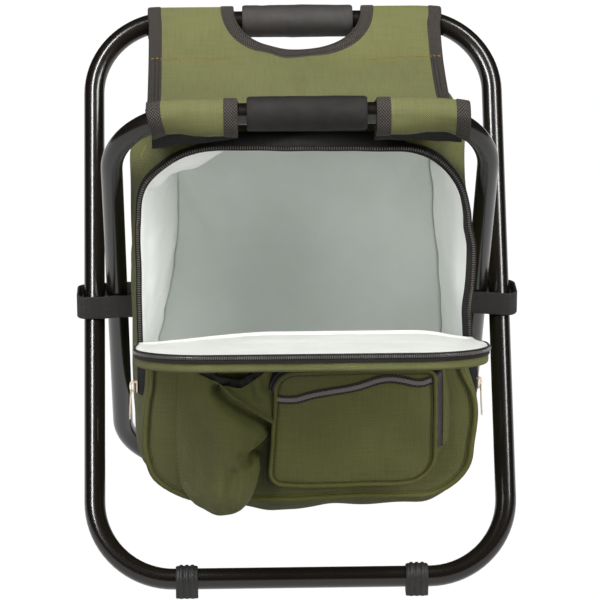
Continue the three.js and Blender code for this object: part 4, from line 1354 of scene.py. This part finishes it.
def lid_hump(rows, share):
    """The lining lies on the foam, and sinks towards its sides."""
    x, z = rows[..., 0], rows[..., 2]
    crown = eased(x, -136, -14) * (1 - eased(x, 106, 144)) * eased(z, fold, fold + 6)
    return (1 - share ** 6) * (1.2 - 3.4 * (1 - crown) + 0.5 * waver(rows[..., [0, 2]], 46, 53))


lid_lining_pattern = Pattern()
# The lining's edge turns down over the foam in four rows.
rim_y = seam_y - 0.6 - np.array([0, 0.6, 1.6, 2.8])
rim_inset = np.array([0.9, 1.9, 2.6, 3.4])
rim = np.array([lid_ring(y, inset, fold + inset) for y, inset in zip(rim_y, rim_inset)])
lid_lining_pattern.grid(swung(rim), closed=True)
panel(lid_lining_pattern, rim[-1], lid_hump, swung, rings=44)
# Its finish is the white lining with painted shade.
lid_lining = lid_lining_pattern.sew("lid_lining", lid_white_painted_shade, sharp=60)
thicken(lid_lining, 0.8, offset=0)
dress(lid_lining, "white_lining", "lid_liner", "lid_foam")

# %% [markdown]
# ## Zip of the lid
#
# One half of the zip is sewn round the mouth, the other round the lid. Under the fold both halves run
# on together down the bag's sides, where the two sliders are parked. Each half is a woven tape with a
# row of coil teeth on its edge. The teeth could be a bump in the tape's finish, but they show from
# close by and in the exported meshes, so each one is a small bar.

# %% Forms of tapes and teeth
# A tooth's length across the tape, its height over it and its width along it.
tooth = (2.5, 1.3, 1.15)
rim_tooth = (2.6, 1.3, 0.8)


def outward(path):
    """The direction away from the bag at each place of a path in the front view."""
    ahead = np.gradient(path, axis=0)
    normal = np.stack([-ahead[:, 1], np.zeros(len(path)), ahead[:, 0]], axis=1)
    return normal / np.linalg.norm(normal, axis=1, keepdims=True)


def tape_rows(path, near, far, lift, moved):
    """A woven tape between two depths, lying on the cloth."""
    normal = outward(path)
    profile = flat_band(abs(far - near), 0.9, across=7, edge=4)
    rows = swept(stand(path, (near + far) / 2, mouth_shift) + normal * lift, profile, normal)
    return moved(rows)


def zip_teeth(path, y, lift, moved, pitch=1.75):
    """Teeth along a tape's edge, each a small bar across it."""
    places, way = evenly(moved(stand(path, y, mouth_shift) + outward(path) * lift), pitch)
    ahead = moved(stand(path, y - 1, mouth_shift) + outward(path) * lift)
    across = evenly(ahead, pitch)[0]
    count = min(len(places), len(across))
    sideways = across[:count] - places[:count]
    sideways -= (sideways * way[:count]).sum(axis=1, keepdims=True) * way[:count]
    sideways /= np.linalg.norm(sideways, axis=1, keepdims=True)
    return bars_along(places[:count], sideways, way[:count], tooth)


def rim_tape(path, inward):
    """A tape folded over the mouth's rim. Over the top it reaches further back, under the seat, where
    its dark band is partly painted shade for the seat's shadow on the bag's top.
    """
    normal = outward(path)
    back = 9
    # Each line of the tape: its height over the cloth, its depth, and its share of the way inward.
    section = [(0.9, back, 0), (0.9, 1.6, 0), (0.4, 1, 0), (0, 0.9, -1), (0, 1.7, -1.02),
               (-0.6, 2.2, 0), (-0.3, back, 0)]
    # The extra reach over the top is dark tape that is partly painted shade, where the seat shades the
    # bag's top.
    further = 24 * (1 - eased(np.abs(path[:, 0]), 66, 92)) * (path[:, 1] > 0)
    rows = [stand(path, seam_y + depth + further * (depth == back), mouth_shift)
            + normal * (out + share * inward[:, None]) for out, depth, share in section]
    return settled(np.stack(rows, axis=1))


mouth_path = upper_edge(mouth_radius)
mouth_length = np.linalg.norm(np.diff(mouth_path, axis=0), axis=1).sum()
print("the mouth's zip is", round(mouth_length), "mm long over the fold")

# %% [markdown]
# The mouth's tape is wider at the right, where the real one is pulled round the rim, and reaches back
# over the top like a guard; there its dark band also stands for painted shade, where the seat shades
# the bag's top. The teeth are copies of one small bar.

# %% Lay the mouth's half of the zip
lower_right = 0.4 + 0.6 * eased(-mouth_path[:, 1], -130, -60)
inward = 3.9 + 3.7 * eased(mouth_path[:, 0], 60, 140) * lower_right
bag_tape = closed_body(rim_tape(mouth_path, inward))
for sign in (-1, 1):
    downwards = np.linspace(fold, fold - zip_tail, 24)[::sign]
    side = np.stack([np.full(24, sign * bag_half), downwards], axis=1)
    closed_body(tape_rows(side, seam_y - 9, seam_y + 9, 0.6, settled), pattern=bag_tape)
dress(bag_tape.sew("mouth_tape", tape), "zip_tape", "bag_zip_tape")
# The teeth's lighter grey paints their glint as a highlight.
rim = settled(stand(mouth_path, seam_y + 0.75, mouth_shift) - outward(mouth_path) * 1.5)
places, way = evenly(rim, 2.0)
teeth = Pattern().copies(bars_along(places, np.cross(way, (0, 1, 0)), way, rim_tooth), bar_faces)
for sign in (-1, 1):
    downwards = np.linspace(fold, fold - zip_tail + 9, 24)[::sign]
    side = np.stack([np.full(24, sign * bag_half), downwards], axis=1)
    for y in (seam_y - 1.1, seam_y + 1.1):
        teeth.copies(zip_teeth(side, y, 1.6, settled), bar_faces)
dress(teeth.sew("mouth_teeth", teeth_painted_glint, merge=0.0001), "zip_tape", body="bag")

# %% Lay the lid's half of the zip
lid_outline = lid_path(0, fold + 0.4)
lid_tape = closed_body(tape_rows(lid_outline, seam_y - 7.2, seam_y + 0.2, 0.6, swung))
dress(lid_tape.sew("lid_tape", tape), "zip_tape", "lid_zip_tape")
lid_teeth = Pattern().copies(zip_teeth(lid_outline, seam_y - 2.6, 1.5, swung), bar_faces)
dress(lid_teeth.sew("lid_teeth", teeth_painted_glint, merge=0.0001), "zip_tape", body="lid")

# %% [markdown]
# ## Lower front
#
# Piping is a cord wrapped in a strip of cloth, sewn into the seam between the front panel and the
# bag's walls. A line of stitches follows it. A bevelled edge of the bag could suggest it, but a cord
# of its own keeps its round highlight.

# %% Pipe the lower front
piping_inset, piping_radius = 2.85, 2.1
edge = lower_edge(piping_inset)
edge = edge[edge[:, 1] < fold - 4]
path = settled(stand(edge, front_y - 1.2, mouth_shift))
dress(cord(path, circle(piping_radius, 14), (0, -1, 0), piping_cloth, "lower_piping"), "olive_cloth",
      "front_piping")
stitch_edge = lower_edge(piping_inset + 4)
stitch_edge = stitch_edge[stitch_edge[:, 1] < fold - 6]
seam_stitches = sewn_along([settled(stand(stitch_edge, front_y - 0.4, mouth_shift))], (0, -1, 0),
                           "lower_seam_stitches", thread_olive)
dress(seam_stitches, "olive_cloth", body="bag")

# %% [markdown]
# The back panel is sewn in with the same piping, and one row of stitches goes round it.

# %% Pipe the back panel
half_round = 3
back_ring = settled(np.concatenate([lower_rows[half_round], upper_rows[half_round][1:-1]]))
dress(cord(back_ring, circle(piping_radius, 14), (0, 1, 0), piping_cloth, "back_piping", closed=True),
      "olive_cloth", body="bag")
back_edge = np.concatenate([lower_rows[0], upper_rows[0][1:]])
middle = (back_edge.max(axis=0) + back_edge.min(axis=0)) / 2
back_edge = middle + (back_edge - middle) * 0.96 + [0, 0.9, 0]
back_stitches = sewn_along([settled(back_edge)], (0, 1, 0), "back_seam_stitches", thread_olive)
dress(back_stitches, "olive_cloth", body="bag")

# %% [markdown]
# ## Zip pocket
#
# A flat pocket stands out from the lower front. Its face is piped, its zip runs over the top and down
# its right side, and a reflective strip with black edges is sewn across it in a slow wave. The face
# was pulled down at its lower left, so its outline is drawn square and then moved.

# %% Outline of the zip pocket
pocket_low, pocket_high = local_box("front_pocket")
pocket_left, pocket_right = pocket_low[0], pocket_high[0]
pocket_bottom, pocket_top = pocket_low[2], pocket_high[2]
pocket_deep = pocket_high[1] - pocket_low[1]


def pocket_ring(grow=0.0):
    """The pocket's outline in the front view, from the top's middle round to the right."""
    left, right = pocket_left - grow, pocket_right + grow
    bottom, top = pocket_bottom - grow, pocket_top + grow
    middle = (left + right) / 2
    corners = [(middle, top), (right, top), (right, bottom), (left, bottom), (left, top), (middle, top)]
    return run(corners, (9 + grow, 24 + grow, 12 + grow, 20 + grow), (14, 26, 34, 26, 15))[:-1]


lower_pull = drawn((-30, -2), (-13, -3.5), (25, -6), (49, -6.6), (83, -5.4), (105, -2), (122, 0))


def pulled(flat):
    """Moves the pocket's outline as the sewn cloth has pulled it."""
    flat = np.array(flat, float)
    x, z = flat[..., 0].copy(), flat[..., 1].copy()
    low, left = eased(-z, 30, 120), eased(50 - x, 0, 66)
    flat[..., 0] -= (3.2 + 5 * low) * left + 1.5 * eased(x, 60, 116)
    flat[..., 1] += low * lower_pull(x)
    return flat


def on_front(flat, out):
    """A place on the lower front, at a distance out from it."""
    return settled(stand(flat, front_y - out))


def pocket_crown(flat):
    """How far the pocket's face stands out from its piping."""
    across = 1 - ((flat[..., 0] - 47) / 70) ** 2
    upward = 1 - ((flat[..., 1] + 72) / 54) ** 2
    crown = 2.6 * np.sqrt(np.clip(across, 0, 1) * np.clip(upward, 0, 1))
    crown += 1.1 * crease(flat, (-12, -116), (52, -52), 13)
    crown -= 0.8 * crease(flat, (24, -116), (76, -74), 16)
    return crown + 0.35 * waver(flat, 48, 61)


print("the pocket is", (pocket_high - pocket_low).round(1), "mm")

# %% Sew the zip pocket
face_ring = pulled(pocket_ring(-2.2))
wall_base = pulled(pocket_ring(-1.5))
rightward = eased(wall_base[:, 0], 96, 116) * eased(wall_base[:, 1], -112, -90)
wall_base[:, 0] += 12 * rightward
share = np.linspace(0, 1, 9)[:, None, None]
walls = wall_base + (face_ring - wall_base) * share
outs = 0.4 + (pocket_deep - 0.4) * share[..., 0] ** 0.8
walls = settled(stand(walls, front_y - np.broadcast_to(outs, walls.shape[:2])))
pocket = Pattern().grid(walls, closed=True)
middle = np.array([47, -72])
share = np.linspace(1, 0, 34)[:, None, None]
flat = middle + (face_ring - middle) * share
lift = pocket_deep + (1 - share[..., 0] ** 8) * pocket_crown(flat)
face = settled(stand(flat, front_y - lift))
pocket.grid(face, closed=True, cloth=np.concatenate([flat, flat[:, :1]], axis=1) * MM)
zip_pocket = pocket.sew("zip_pocket", olive, sharp=50)
thicken(zip_pocket, 1.0)
dress(zip_pocket, "olive_cloth", "front_pocket")

# %% Pipe the pocket's face
ring = pulled(pocket_ring(-1.7))
path = on_front(ring, pocket_deep + 0.9)
dress(cord(path, circle(1.75, 14), (0, -1, 0), piping_cloth, "pocket_piping_cord", closed=True),
      "olive_cloth", "pocket_piping")
inner = pulled(pocket_ring(-4.6))
seam = settled(stand(inner, front_y - pocket_deep - 0.8 - pocket_crown(inner) * 0.35))
dress(sewn_along([np.concatenate([seam, seam[:1]])], (0, -1, 0), "pocket_stitches", thread_olive),
      "olive_cloth", body="bag")

# %% [markdown]
# The strip is a grey reflective tape laid on a wider black tape, and sewn through both. It could be
# only a colour on the pocket, but two bands along one slow wave stand out as the real ones do.

# %% Lay the reflective strip
wave = [(-22, -47.2), (-14, -48), (-4, -47.4), (8.5, -43.6), (26, -40.6), (44, -37.5), (56, -34.5),
        (66, -31.3), (77, -30), (88, -32), (96, -34), (103, -34), (110, -31.4)]
strip_line = smoothed(wave, 120)
lift = pocket_deep + 0.7 + pocket_crown(strip_line)
backing = cord(on_front(strip_line, lift), flat_band(7.8, 1.1, across=9), (0, -1, 0), binding,
               "strip_backing")
dress(backing, "reflective_tape", body="bag")
strip = cord(on_front(strip_line, lift + 0.6), flat_band(3.7, 0.7, across=7), (0, -1, 0), strip_tape,
             "strip_face")
dress(strip, "reflective_tape", "reflective_strip")

# %% [markdown]
# The pocket's zip is a covered coil: a round glossy tape edge beside a darker groove. It ends above
# the lower right corner, and the pocket's side goes on under it. One band with two colours could do,
# but two bands leave the groove between them in shade.

# %% Zip of the pocket
zip_ring = pulled(pocket_ring(3))
order = np.concatenate([zip_ring[-54:], zip_ring[:60]])
order = order[(order[:, 1] > -96) & ((order[:, 0] > 2) | (order[:, 1] > -40))]
sideways = outward(order)
facing = sideways * 0.76 + np.array([0, -0.65, 0])
right_part = eased(order[:, 0], 90, 112)[:, None]
for name, out, shift, width, thick, finish, nodes in (
        ("pocket_zip_band", 10.4, -2.2, 12.5, 3.2, coated_tape, ("pocket_zip_tape",)),
        ("pocket_zip_groove", 13.2, -4.6, 4.2, 1.2, tape, ())):
    line = on_front(order + sideways[:, [0, 2]] * shift * right_part, out)
    piece = closed_body(swept(line, flat_band(width, thick, across=8, edge=9), facing), (1, 0.5, 0))
    dress(piece.sew(name, finish), "zip_tape", *nodes, body=None if nodes else "bag")

# %% Lay the pocket's teeth
line = on_front(order + sideways[:, [0, 2]] * -4.4 * right_part, 13.9)
places, way = evenly(line, 1.9)
coil_tooth = (2.2, 1.1, 0.9)
coil_bars = bars_along(places, np.cross(way, (0.6, -0.8, 0)), way, coil_tooth)
coil = Pattern().copies(coil_bars, bar_faces)
dress(coil.sew("pocket_zip_coil", teeth_painted_glint, merge=0.0001), "zip_tape", body="bag")

# %% [markdown]
# ## Bottle pocket
#
# The bottle pocket is a loose pouch whose mouth is gathered by elastic. The cloth falls in two big
# folds towards a pinched place in its right seam, and bellies out under them. A cloth simulation could
# drop it, but its folds would fall anywhere. Here a net of listed places gives the belly, smooth
# curves go through the net, and ridges and valleys along the folds give the creases.

# %% Shape the bottle pocket
# Each row goes from the left seam to the right one: across, out from the panel, and up.
net = np.array([
    [(-103, 0.5, -126), (-97, 3, -133), (-86, 3, -138), (-70, 3, -141),
     (-55, 3, -139), (-44, 2, -132), (-37, 0.5, -122)],
    [(-105, 0.5, -122), (-99, 11, -132), (-88, 20, -142), (-70, 25, -148),
     (-53, 22, -145), (-42, 14, -134), (-36, 0.5, -116)],
    [(-106, 0.5, -112), (-99, 13, -118), (-88, 27, -127), (-70, 36, -131),
     (-52, 34, -127), (-39, 23, -120), (-33, 0.5, -108)],
    [(-107, 0.5, -94), (-99, 10, -97), (-88, 25, -103), (-70, 35, -106),
     (-53, 34, -104), (-39, 19, -102), (-31, 0.5, -98)],
    [(-107, 0.5, -74), (-99, 8, -75), (-87, 22, -79), (-69, 33, -82),
     (-50, 32, -82), (-35, 21, -80), (-23, 7, -78)],
    [(-106, 0.5, -54), (-99, 8, -55), (-87, 20, -58), (-70, 30, -61),
     (-52, 30, -62), (-36, 23, -63), (-22, 12, -68)],
    [(-105, 0.5, -36), (-98, 8, -37), (-87, 18, -40), (-70, 25, -44),
     (-53, 26, -48), (-37, 21, -47), (-23, 11, -46)],
    [(-104, 0.5, -19), (-97, 6, -20), (-86, 13, -24), (-70, 18, -30),
     (-53, 20, -36), (-38, 15, -30), (-24, 8, -21)],
], float)


def through_net(net, rows, columns):
    """A smooth surface through a net of places."""
    wide = np.stack([smoothed(row, columns) for row in net])
    return np.stack([smoothed(wide[:, column], rows) for column in range(columns)], axis=1)


pouch = through_net(net, 120, 120)
print("the pouch bellies out by", round(float(pouch[..., 1].max())), "mm")

# %% [markdown]
# Folds are added as height over the net: a ridge where the cloth is pulled tight, a valley beside it,
# and small gathers under the elastic.

# %% Fold the pouch
flat = pouch[..., [0, 2]]
upper_fold = [(-71, -23), (-67, -32), (-60, -40), (-47, -49), (-35, -58), (-21, -72)]
lower_fold = [(-21, -76), (-36, -83), (-51, -90)]


def fold_of(line, side, width):
    """1 along a bent line that is moved to one side by a distance in millimetres."""
    line = np.asarray(line, float) + side
    return np.max([crease(flat, a, b, width) for a, b in zip(line[:-1], line[1:])], axis=0)


pouch_out = 6.5 * fold_of(upper_fold, (0, 0), 2.2) - 14 * fold_of(upper_fold[1:], (-3, -6), 4.6)
pouch_out += 7 * fold_of(lower_fold, (0, 0), 2.0) - 22 * fold_of(lower_fold, (6, -7.5), 5.6)
valleys = [((-64, -142), (-56, -108), 5, 6), ((-82, -142), (-86, -74), 3, 7),
           ((-96, -122), (-92, -60), 3, 5), ((-74, -96), (-46, -120), 1.2, 6)]
gathers = [((-61, -34), (-58, -41), 2.4, 3.2), ((-54, -36), (-51, -47), 2.6, 3.4),
           ((-46, -35), (-46, -43), 2, 2.6), ((-40, -31), (-36, -45), 3.2, 3.6),
           ((-33, -26), (-30, -38), 2.6, 3.2)]
for above, below, depth, width in valleys + gathers:
    pouch_out -= depth * crease(flat, above, below, width)
pouch_out += 0.7 * waver(flat, 34, 71) + 0.25 * waver(flat, 12, 72)
held = np.clip(pouch[..., 1] / 8, 0, 1)
pouch[..., 1] = pouch[..., 1] + held * pouch_out
pouch = settled(np.stack([pouch[..., 0], front_y - pouch[..., 1], pouch[..., 2]], axis=-1), soft=0.6)
bottle = Pattern().grid(pouch).sew("bottle_pouch", olive, sharp=60)
thicken(bottle, 1.0)
dress(bottle, "olive_cloth", "bottle_pocket")

# %% Gather the pouch's mouth with elastic
mouth = pouch[-1]
# The elastic is drawn as a wide band in the dark zip tape finish: the real black elastic, and above it
# painted shade for the dark inside of the pouch's mouth.
wide = flat_band(10.5, 2.6, across=8, edge=6)
path = mouth + np.array([0, 1.6, 3.2])
elastic = cord(path[2:-2], wide, (0, -1, -0.4), tape, "pouch_elastic")
dress(elastic, "black_binding", "bottle_pocket_elastic")
seam_line = pouch[:, 3]
stitches = sewn_along([seam_line[4:]], (0, -1, 0), "pouch_stitches", thread_olive)
dress(stitches, "olive_cloth", body="bag")

# %% [markdown]
# ## Leg straps
#
# A strap of webbing holds the bag to the crossed legs on each side. It is sewn to the bag, goes round
# both tubes and comes back. A band could be bent by modifiers, but the way round the legs is known, so
# a profile carried along it fits at once.

# %% Loop the straps round the legs
strap_thick, strap_inset, strap_gap, strap_corner = 1.7, 1.1, 0.6, 8.5
for side, sign in (("left", -1), ("right", 1)):
    node = f"leg_strap_{side}"
    low, high = local_box(node)
    centre = (low + high) / 2
    half_y, height = (high[1] - low[1]) / 2, high[2] - low[2]
    near, far = sign * (bag_half + strap_gap), sign * (np.abs([low[0], high[0]]).max() - strap_inset)
    reach_y = half_y - strap_inset
    turn = np.linspace(0, math.pi / 2, 12)
    bend, stop = far - sign * strap_corner, reach_y - strap_corner
    sin, cos = strap_corner * np.sin(turn), strap_corner * np.cos(turn)
    legs = [(np.linspace(near, bend, 26), np.full(26, -reach_y)), (bend + sign * sin, -stop - cos),
            (np.full(14, far), np.linspace(-stop, stop, 14)), (bend + sign * cos, stop + sin),
            (np.linspace(bend, near, 26), np.full(26, reach_y))]
    outer = np.concatenate([np.stack(leg, axis=1)[min(index, 1):] for index, leg in enumerate(legs)])
    path = np.column_stack([outer[:, 0], outer[:, 1] + centre[1], np.full(len(outer), centre[2])])
    droop = eased(np.abs(path[:, 0]), 150, 186)
    path[:, 2] += 0.8 - 1.6 * droop + 0.35 * waver(path, 20, 81)
    outwards = np.gradient(path, axis=0)[:, [1, 0, 2]] * [sign, -sign, 0]
    strap = cord(path, flat_band(height, strap_thick, across=12), outwards, webbing, f"webbing_{side}")
    dress(strap, "strap_webbing", node)

# %% [markdown]
# ## Sliders and pulls
#
# Each slider is a small cast body with two plates, joined by a post at the wide end, with a bridge
# that holds the pull. The pull is a flat tag with a ring at its top. Both are plated a pale gold. They
# could be cut from blocks, but a flat casting with eased edges needs only four rings of points.

# %% Forms of a casting


def slab(outline, low, high, bevel=0.35):
    """Rows of a flat casting with eased edges, from its outline as [along, across] pairs."""
    outline = np.asarray(outline, float)
    middle = outline.mean(axis=0)
    reach = np.linalg.norm(outline - middle, axis=1, keepdims=True)
    small = middle + (outline - middle) * (1 - bevel / reach)
    rows = [(small, low), (outline, low + bevel), (outline, high - bevel), (small, high)]
    return np.array([np.column_stack([ring, np.full(len(ring), level)]) for ring, level in rows])


def oval(length, width, power=3.0, sides=40, pinch=0.0):
    """A rounded outline that narrows towards its far end by a share."""
    turn = np.arange(sides) * 2 * math.pi / sides
    cos, sin = np.cos(turn), np.sin(turn)
    along = np.sign(cos) * np.abs(cos) ** (2 / power) * length / 2
    across = np.sign(sin) * np.abs(sin) ** (2 / power) * width / 2
    return np.column_stack([along, across * (1 - pinch * (0.5 + along / length))])


def set_at(rows, origin, axes):
    """Turns rows of [along, across, out] to the axes of a place."""
    return np.asarray(rows, float) @ np.asarray(axes, float) + np.asarray(origin, float)


print("a slider's plate is", np.ptp(oval(11, 9), axis=0).round(1), "mm")

# %% A slider and a pull


def slider_rows(pattern, origin, axes, length, width):
    """Two plates, the post between them and the bridge over them."""
    for low, high, pinch in ((-1.6, -0.3, 0.25), (1.2, 2.5, 0.3)):
        rows = set_at(slab(oval(length, width, pinch=pinch), low, high), origin, axes)
        closed_body(rows, (1, 0.5, 0), pattern)
    post = set_at(slab(oval(2.2, 1.6) - [length * 0.36, 0], -0.8, 1.8), origin, axes)
    pattern.grid(post, closed=True)
    turn = np.linspace(0, math.pi, 24)
    rise = 2.2 + 2.4 * np.sin(turn) ** 0.7
    arch = np.column_stack([-0.40 * length * np.cos(turn), np.zeros(24), rise])
    bridge = swept(arch, flat_band(2.0, 0.9, across=4, edge=4), (0, 1, 0))
    closed_body(set_at(bridge, origin, axes), pattern=pattern)
    return pattern


def pull_rows(pattern, origin, axes, length, ring=3.1):
    """A pull that starts with a ring at the origin and hangs along the first axis."""
    turn = np.arange(36) * 2 * math.pi / 36
    loop = ring * np.column_stack([1 - 1.15 * np.cos(turn), 0.92 * np.sin(turn), np.zeros(36)])
    rows = set_at(swept(loop, circle(0.6, 10), (0, 0, 1), closed=True), origin, axes)
    closed_loop(rows, pattern)
    reach = np.linspace(0, 1, 40)
    half = 1.5 + 0.5 * np.sin(reach * math.pi) ** 0.6
    half = half + 0.9 * eased(reach, 0.72, 0.95) - 1.4 * eased(reach, 0.955, 1)
    spine = ring * 1.9 + reach * (length - ring * 1.9)
    edges = [np.column_stack([spine, half]), np.column_stack([spine, -half])[::-1]]
    outline = np.concatenate(edges)
    rows = set_at(slab(outline, -0.6, 0.6, bevel=0.3), origin, axes)
    top, bottom = rows[0], rows[-1]
    pattern.grid(rows, closed=True)
    for face in (top, bottom):
        pattern.grid(np.stack([face[:40], face[40:][::-1]]))
    ridge_along = np.linspace(spine[0] + 4, spine[-1] - 4, 24)
    ridge = np.column_stack([ridge_along, np.zeros(24), np.full(24, 0.55)])
    rows = set_at(swept(ridge, flat_band(1.1, 0.5, across=3, edge=4), (0, 0, 1)), origin, axes)
    pattern.grid(rows, closed=True)
    return pattern


upright = np.eye(3)
print("one slider has", slider_rows(Pattern(), [0, 0, 0], upright, 11, 9).count, "points")

# %% [markdown]
# The forms are turned to where each zip runs: the lid's two hang beside the bag's walls, and the
# pocket's lies along its top, with a ring in its pull.

# %% Cast the lid's sliders and pulls
for side, sign in (("left", -1), ("right", 1)):
    low, high = local_box(f"lid_zip_{side}_slider")
    centre = (low + high) / 2
    axes = np.array([(0, 0, -1), (0, 1, 0), (sign, 0, 0)])
    origin = centre - [sign * 1.4, 0, 0] + [0.4, -1.6, 0]
    slider = slider_rows(Pattern(), origin, axes, high[2] - low[2], high[1] - low[1] - 0.6)
    dress(slider.sew(f"zip_slider_{side}", plated, sharp=35), "zip_metal", f"lid_zip_{side}_slider")
    low, high = local_box(f"lid_zip_{side}_pull")
    hang = np.array([(sign * 0.05, 0, -1), (0, 1, 0), (sign, 0, 0.05)])
    start = [origin[0] + sign * 4.1, origin[1], high[2] - 0.5]
    pull = pull_rows(Pattern(), start, hang, high[2] - low[2] - 1)
    dress(pull.sew(f"zip_pull_{side}", plated, sharp=35), "zip_metal", f"lid_zip_{side}_pull")

# %% Cast the pocket's slider and pull
low, high = local_box("pocket_zip_slider")
centre = (low + high) / 2
axes = np.array([(-1, 0, 0), (0, 0, 1), (0, -1, 0)])
origin = centre + [0, 0.6, 0]
slider = slider_rows(Pattern(), origin, axes, high[0] - low[0], high[2] - low[2] - 0.6)
dress(slider.sew("pocket_slider_body", plated, sharp=35), "zip_metal", "pocket_zip_slider")
low, high = local_box("pocket_zip_pull")
start = [high[0] - 1, (low[1] + high[1]) / 2, centre[2]]
pull = pull_rows(Pattern(), start, axes, high[0] - low[0] - 1)
turn = np.arange(48) * 2 * math.pi / 48
loop = np.column_stack([6 * np.cos(turn) + centre[0] - 1, np.full(48, origin[1] - 4.6),
                        5.6 * np.sin(turn) + centre[2] - 6.4])
closed_loop(swept(loop, circle(0.65, 10), (0, 1, 0), closed=True), pull)
dress(pull.sew("pocket_pull_tag", plated, sharp=35), "zip_metal", "pocket_zip_pull")

# %% [markdown]
# ## Camera, floor and light
#
# The photograph is taken from far away with a long lens, a little from above and almost straight on.
# The stage is a white floor that gives off light, so that it has no edge in the picture, and soft
# boxes round the stool. Some light only the surfaces, and two are seen only in the gloss of the
# tubes, where they draw the long highlights.

# %% Place the camera
azimuth = math.radians(-1.62)
elevation = math.radians(18.53)
distance, focal_pixels, picture = 3000, 3441, 600
right = np.array([math.cos(azimuth), math.sin(azimuth), 0])
forward = np.array([-math.sin(azimuth) * math.cos(elevation), math.cos(azimuth) * math.cos(elevation),
                    -math.sin(elevation)])
upward = np.cross(right, forward)
camera_data = bpy.data.cameras.new("camera")
camera_data.sensor_width = 36
camera_data.lens = camera_data.sensor_width * focal_pixels / picture
camera_data.clip_start, camera_data.clip_end = 0.1, 60
camera = bpy.data.objects.new("camera", camera_data)
bpy.context.scene.collection.objects.link(camera)
camera.location = placed(2.6 * right - 1.35 * upward - distance * forward)
facing = Matrix([right, upward, -forward]).transposed().to_4x4()
camera.rotation_mode = "QUATERNION"
camera.rotation_quaternion = (facing @ Matrix.Rotation(math.radians(-0.09), 4, "Z")).to_quaternion()
bpy.context.scene.camera = camera
print("camera at", camera.location[:], "with a lens of", round(camera_data.lens, 1), "mm")

# %% Lay the floor
stage_finish = Finish("pale_floor", Roughness=0.9, Specular_IOR_Level=0.0)
dim, less_dim = (0.02, 0.02, 0.02), (0.03, 0.03, 0.03)
tone = stage_finish.ramp(stage_finish.noise(2.0), (0.0, dim), (1.0, less_dim))
stage_finish.to("Base Color", tone)
stage_finish.shader.inputs["Emission Color"].default_value = (1, 1, 1, 1)
stage_finish.shader.inputs["Emission Strength"].default_value = 1.0
floor_mesh = bpy.data.meshes.new("floor")
reach = 14
corners = [(-reach, -reach, 0), (reach, -reach, 0), (reach, reach, 0), (-reach, reach, 0)]
floor_mesh.from_pydata(corners, [], [(0, 1, 2, 3)])
floor_mesh.materials.append(stage_finish.material)
floor = bpy.data.objects.new("floor", floor_mesh)
bpy.context.scene.collection.objects.link(floor)
floor.visible_diffuse = False
print("the floor is", 2 * reach, "m wide")

# %% Hang the lights


def soft_box(name, place, aim, size, power):
    """A large soft light at a place in metres, turned to what it lights."""
    data = bpy.data.lights.new(name, "AREA")
    data.shape = "RECTANGLE"
    data.size, data.size_y = size
    data.energy = power
    light = bpy.data.objects.new(name, data)
    bpy.context.scene.collection.objects.link(light)
    light.location = place
    light.rotation_euler = (Vector(aim) - Vector(place)).to_track_quat("-Z", "Y").to_euler()
    print(name, "gives", power, "W")
    return light


aim = (0, 0, 0.25)
for name, place, size, power in (("key_from_above", (-0.2, -0.9, 2.4), (2.4, 2.0), 80),
                                 ("left_side", (-2.1, -2.0, 1.0), (0.8, 1.6), 32),
                                 ("right_side", (2.2, -1.5, 1.4), (0.8, 1.6), 52),
                                 ("back_fill", (0.4, 3.0, 1.3), (2.0, 1.6), 42),
                                 ("front_fill", (1.1, -3.1, 1.0), (2.0, 1.4), 20)):
    soft_box(name, place, aim, size, power).visible_glossy = False
for name, place, size, power in (("left_highlight", (-1.1, -1.3, 2.2), (0.34, 1.8), 90),
                                 ("right_highlight", (1.35, -0.85, 2.2), (0.4, 1.8), 60)):
    soft_box(name, place, aim, size, power).visible_diffuse = False

# %% A white world that the camera alone sees
world = bpy.data.worlds.new("studio")
bpy.context.scene.world = world
world.use_nodes = True
world.node_tree.nodes["Background"].inputs["Color"].default_value = (1, 1, 1, 1)
world.node_tree.nodes["Background"].inputs["Strength"].default_value = 1.0
world.cycles_visibility.diffuse = False
world.cycles_visibility.glossy = False
bpy.context.scene.view_settings.view_transform = "Standard"
print("the world is seen by the camera only:", not world.cycles_visibility.diffuse)

# %% [markdown]
# ## Finish
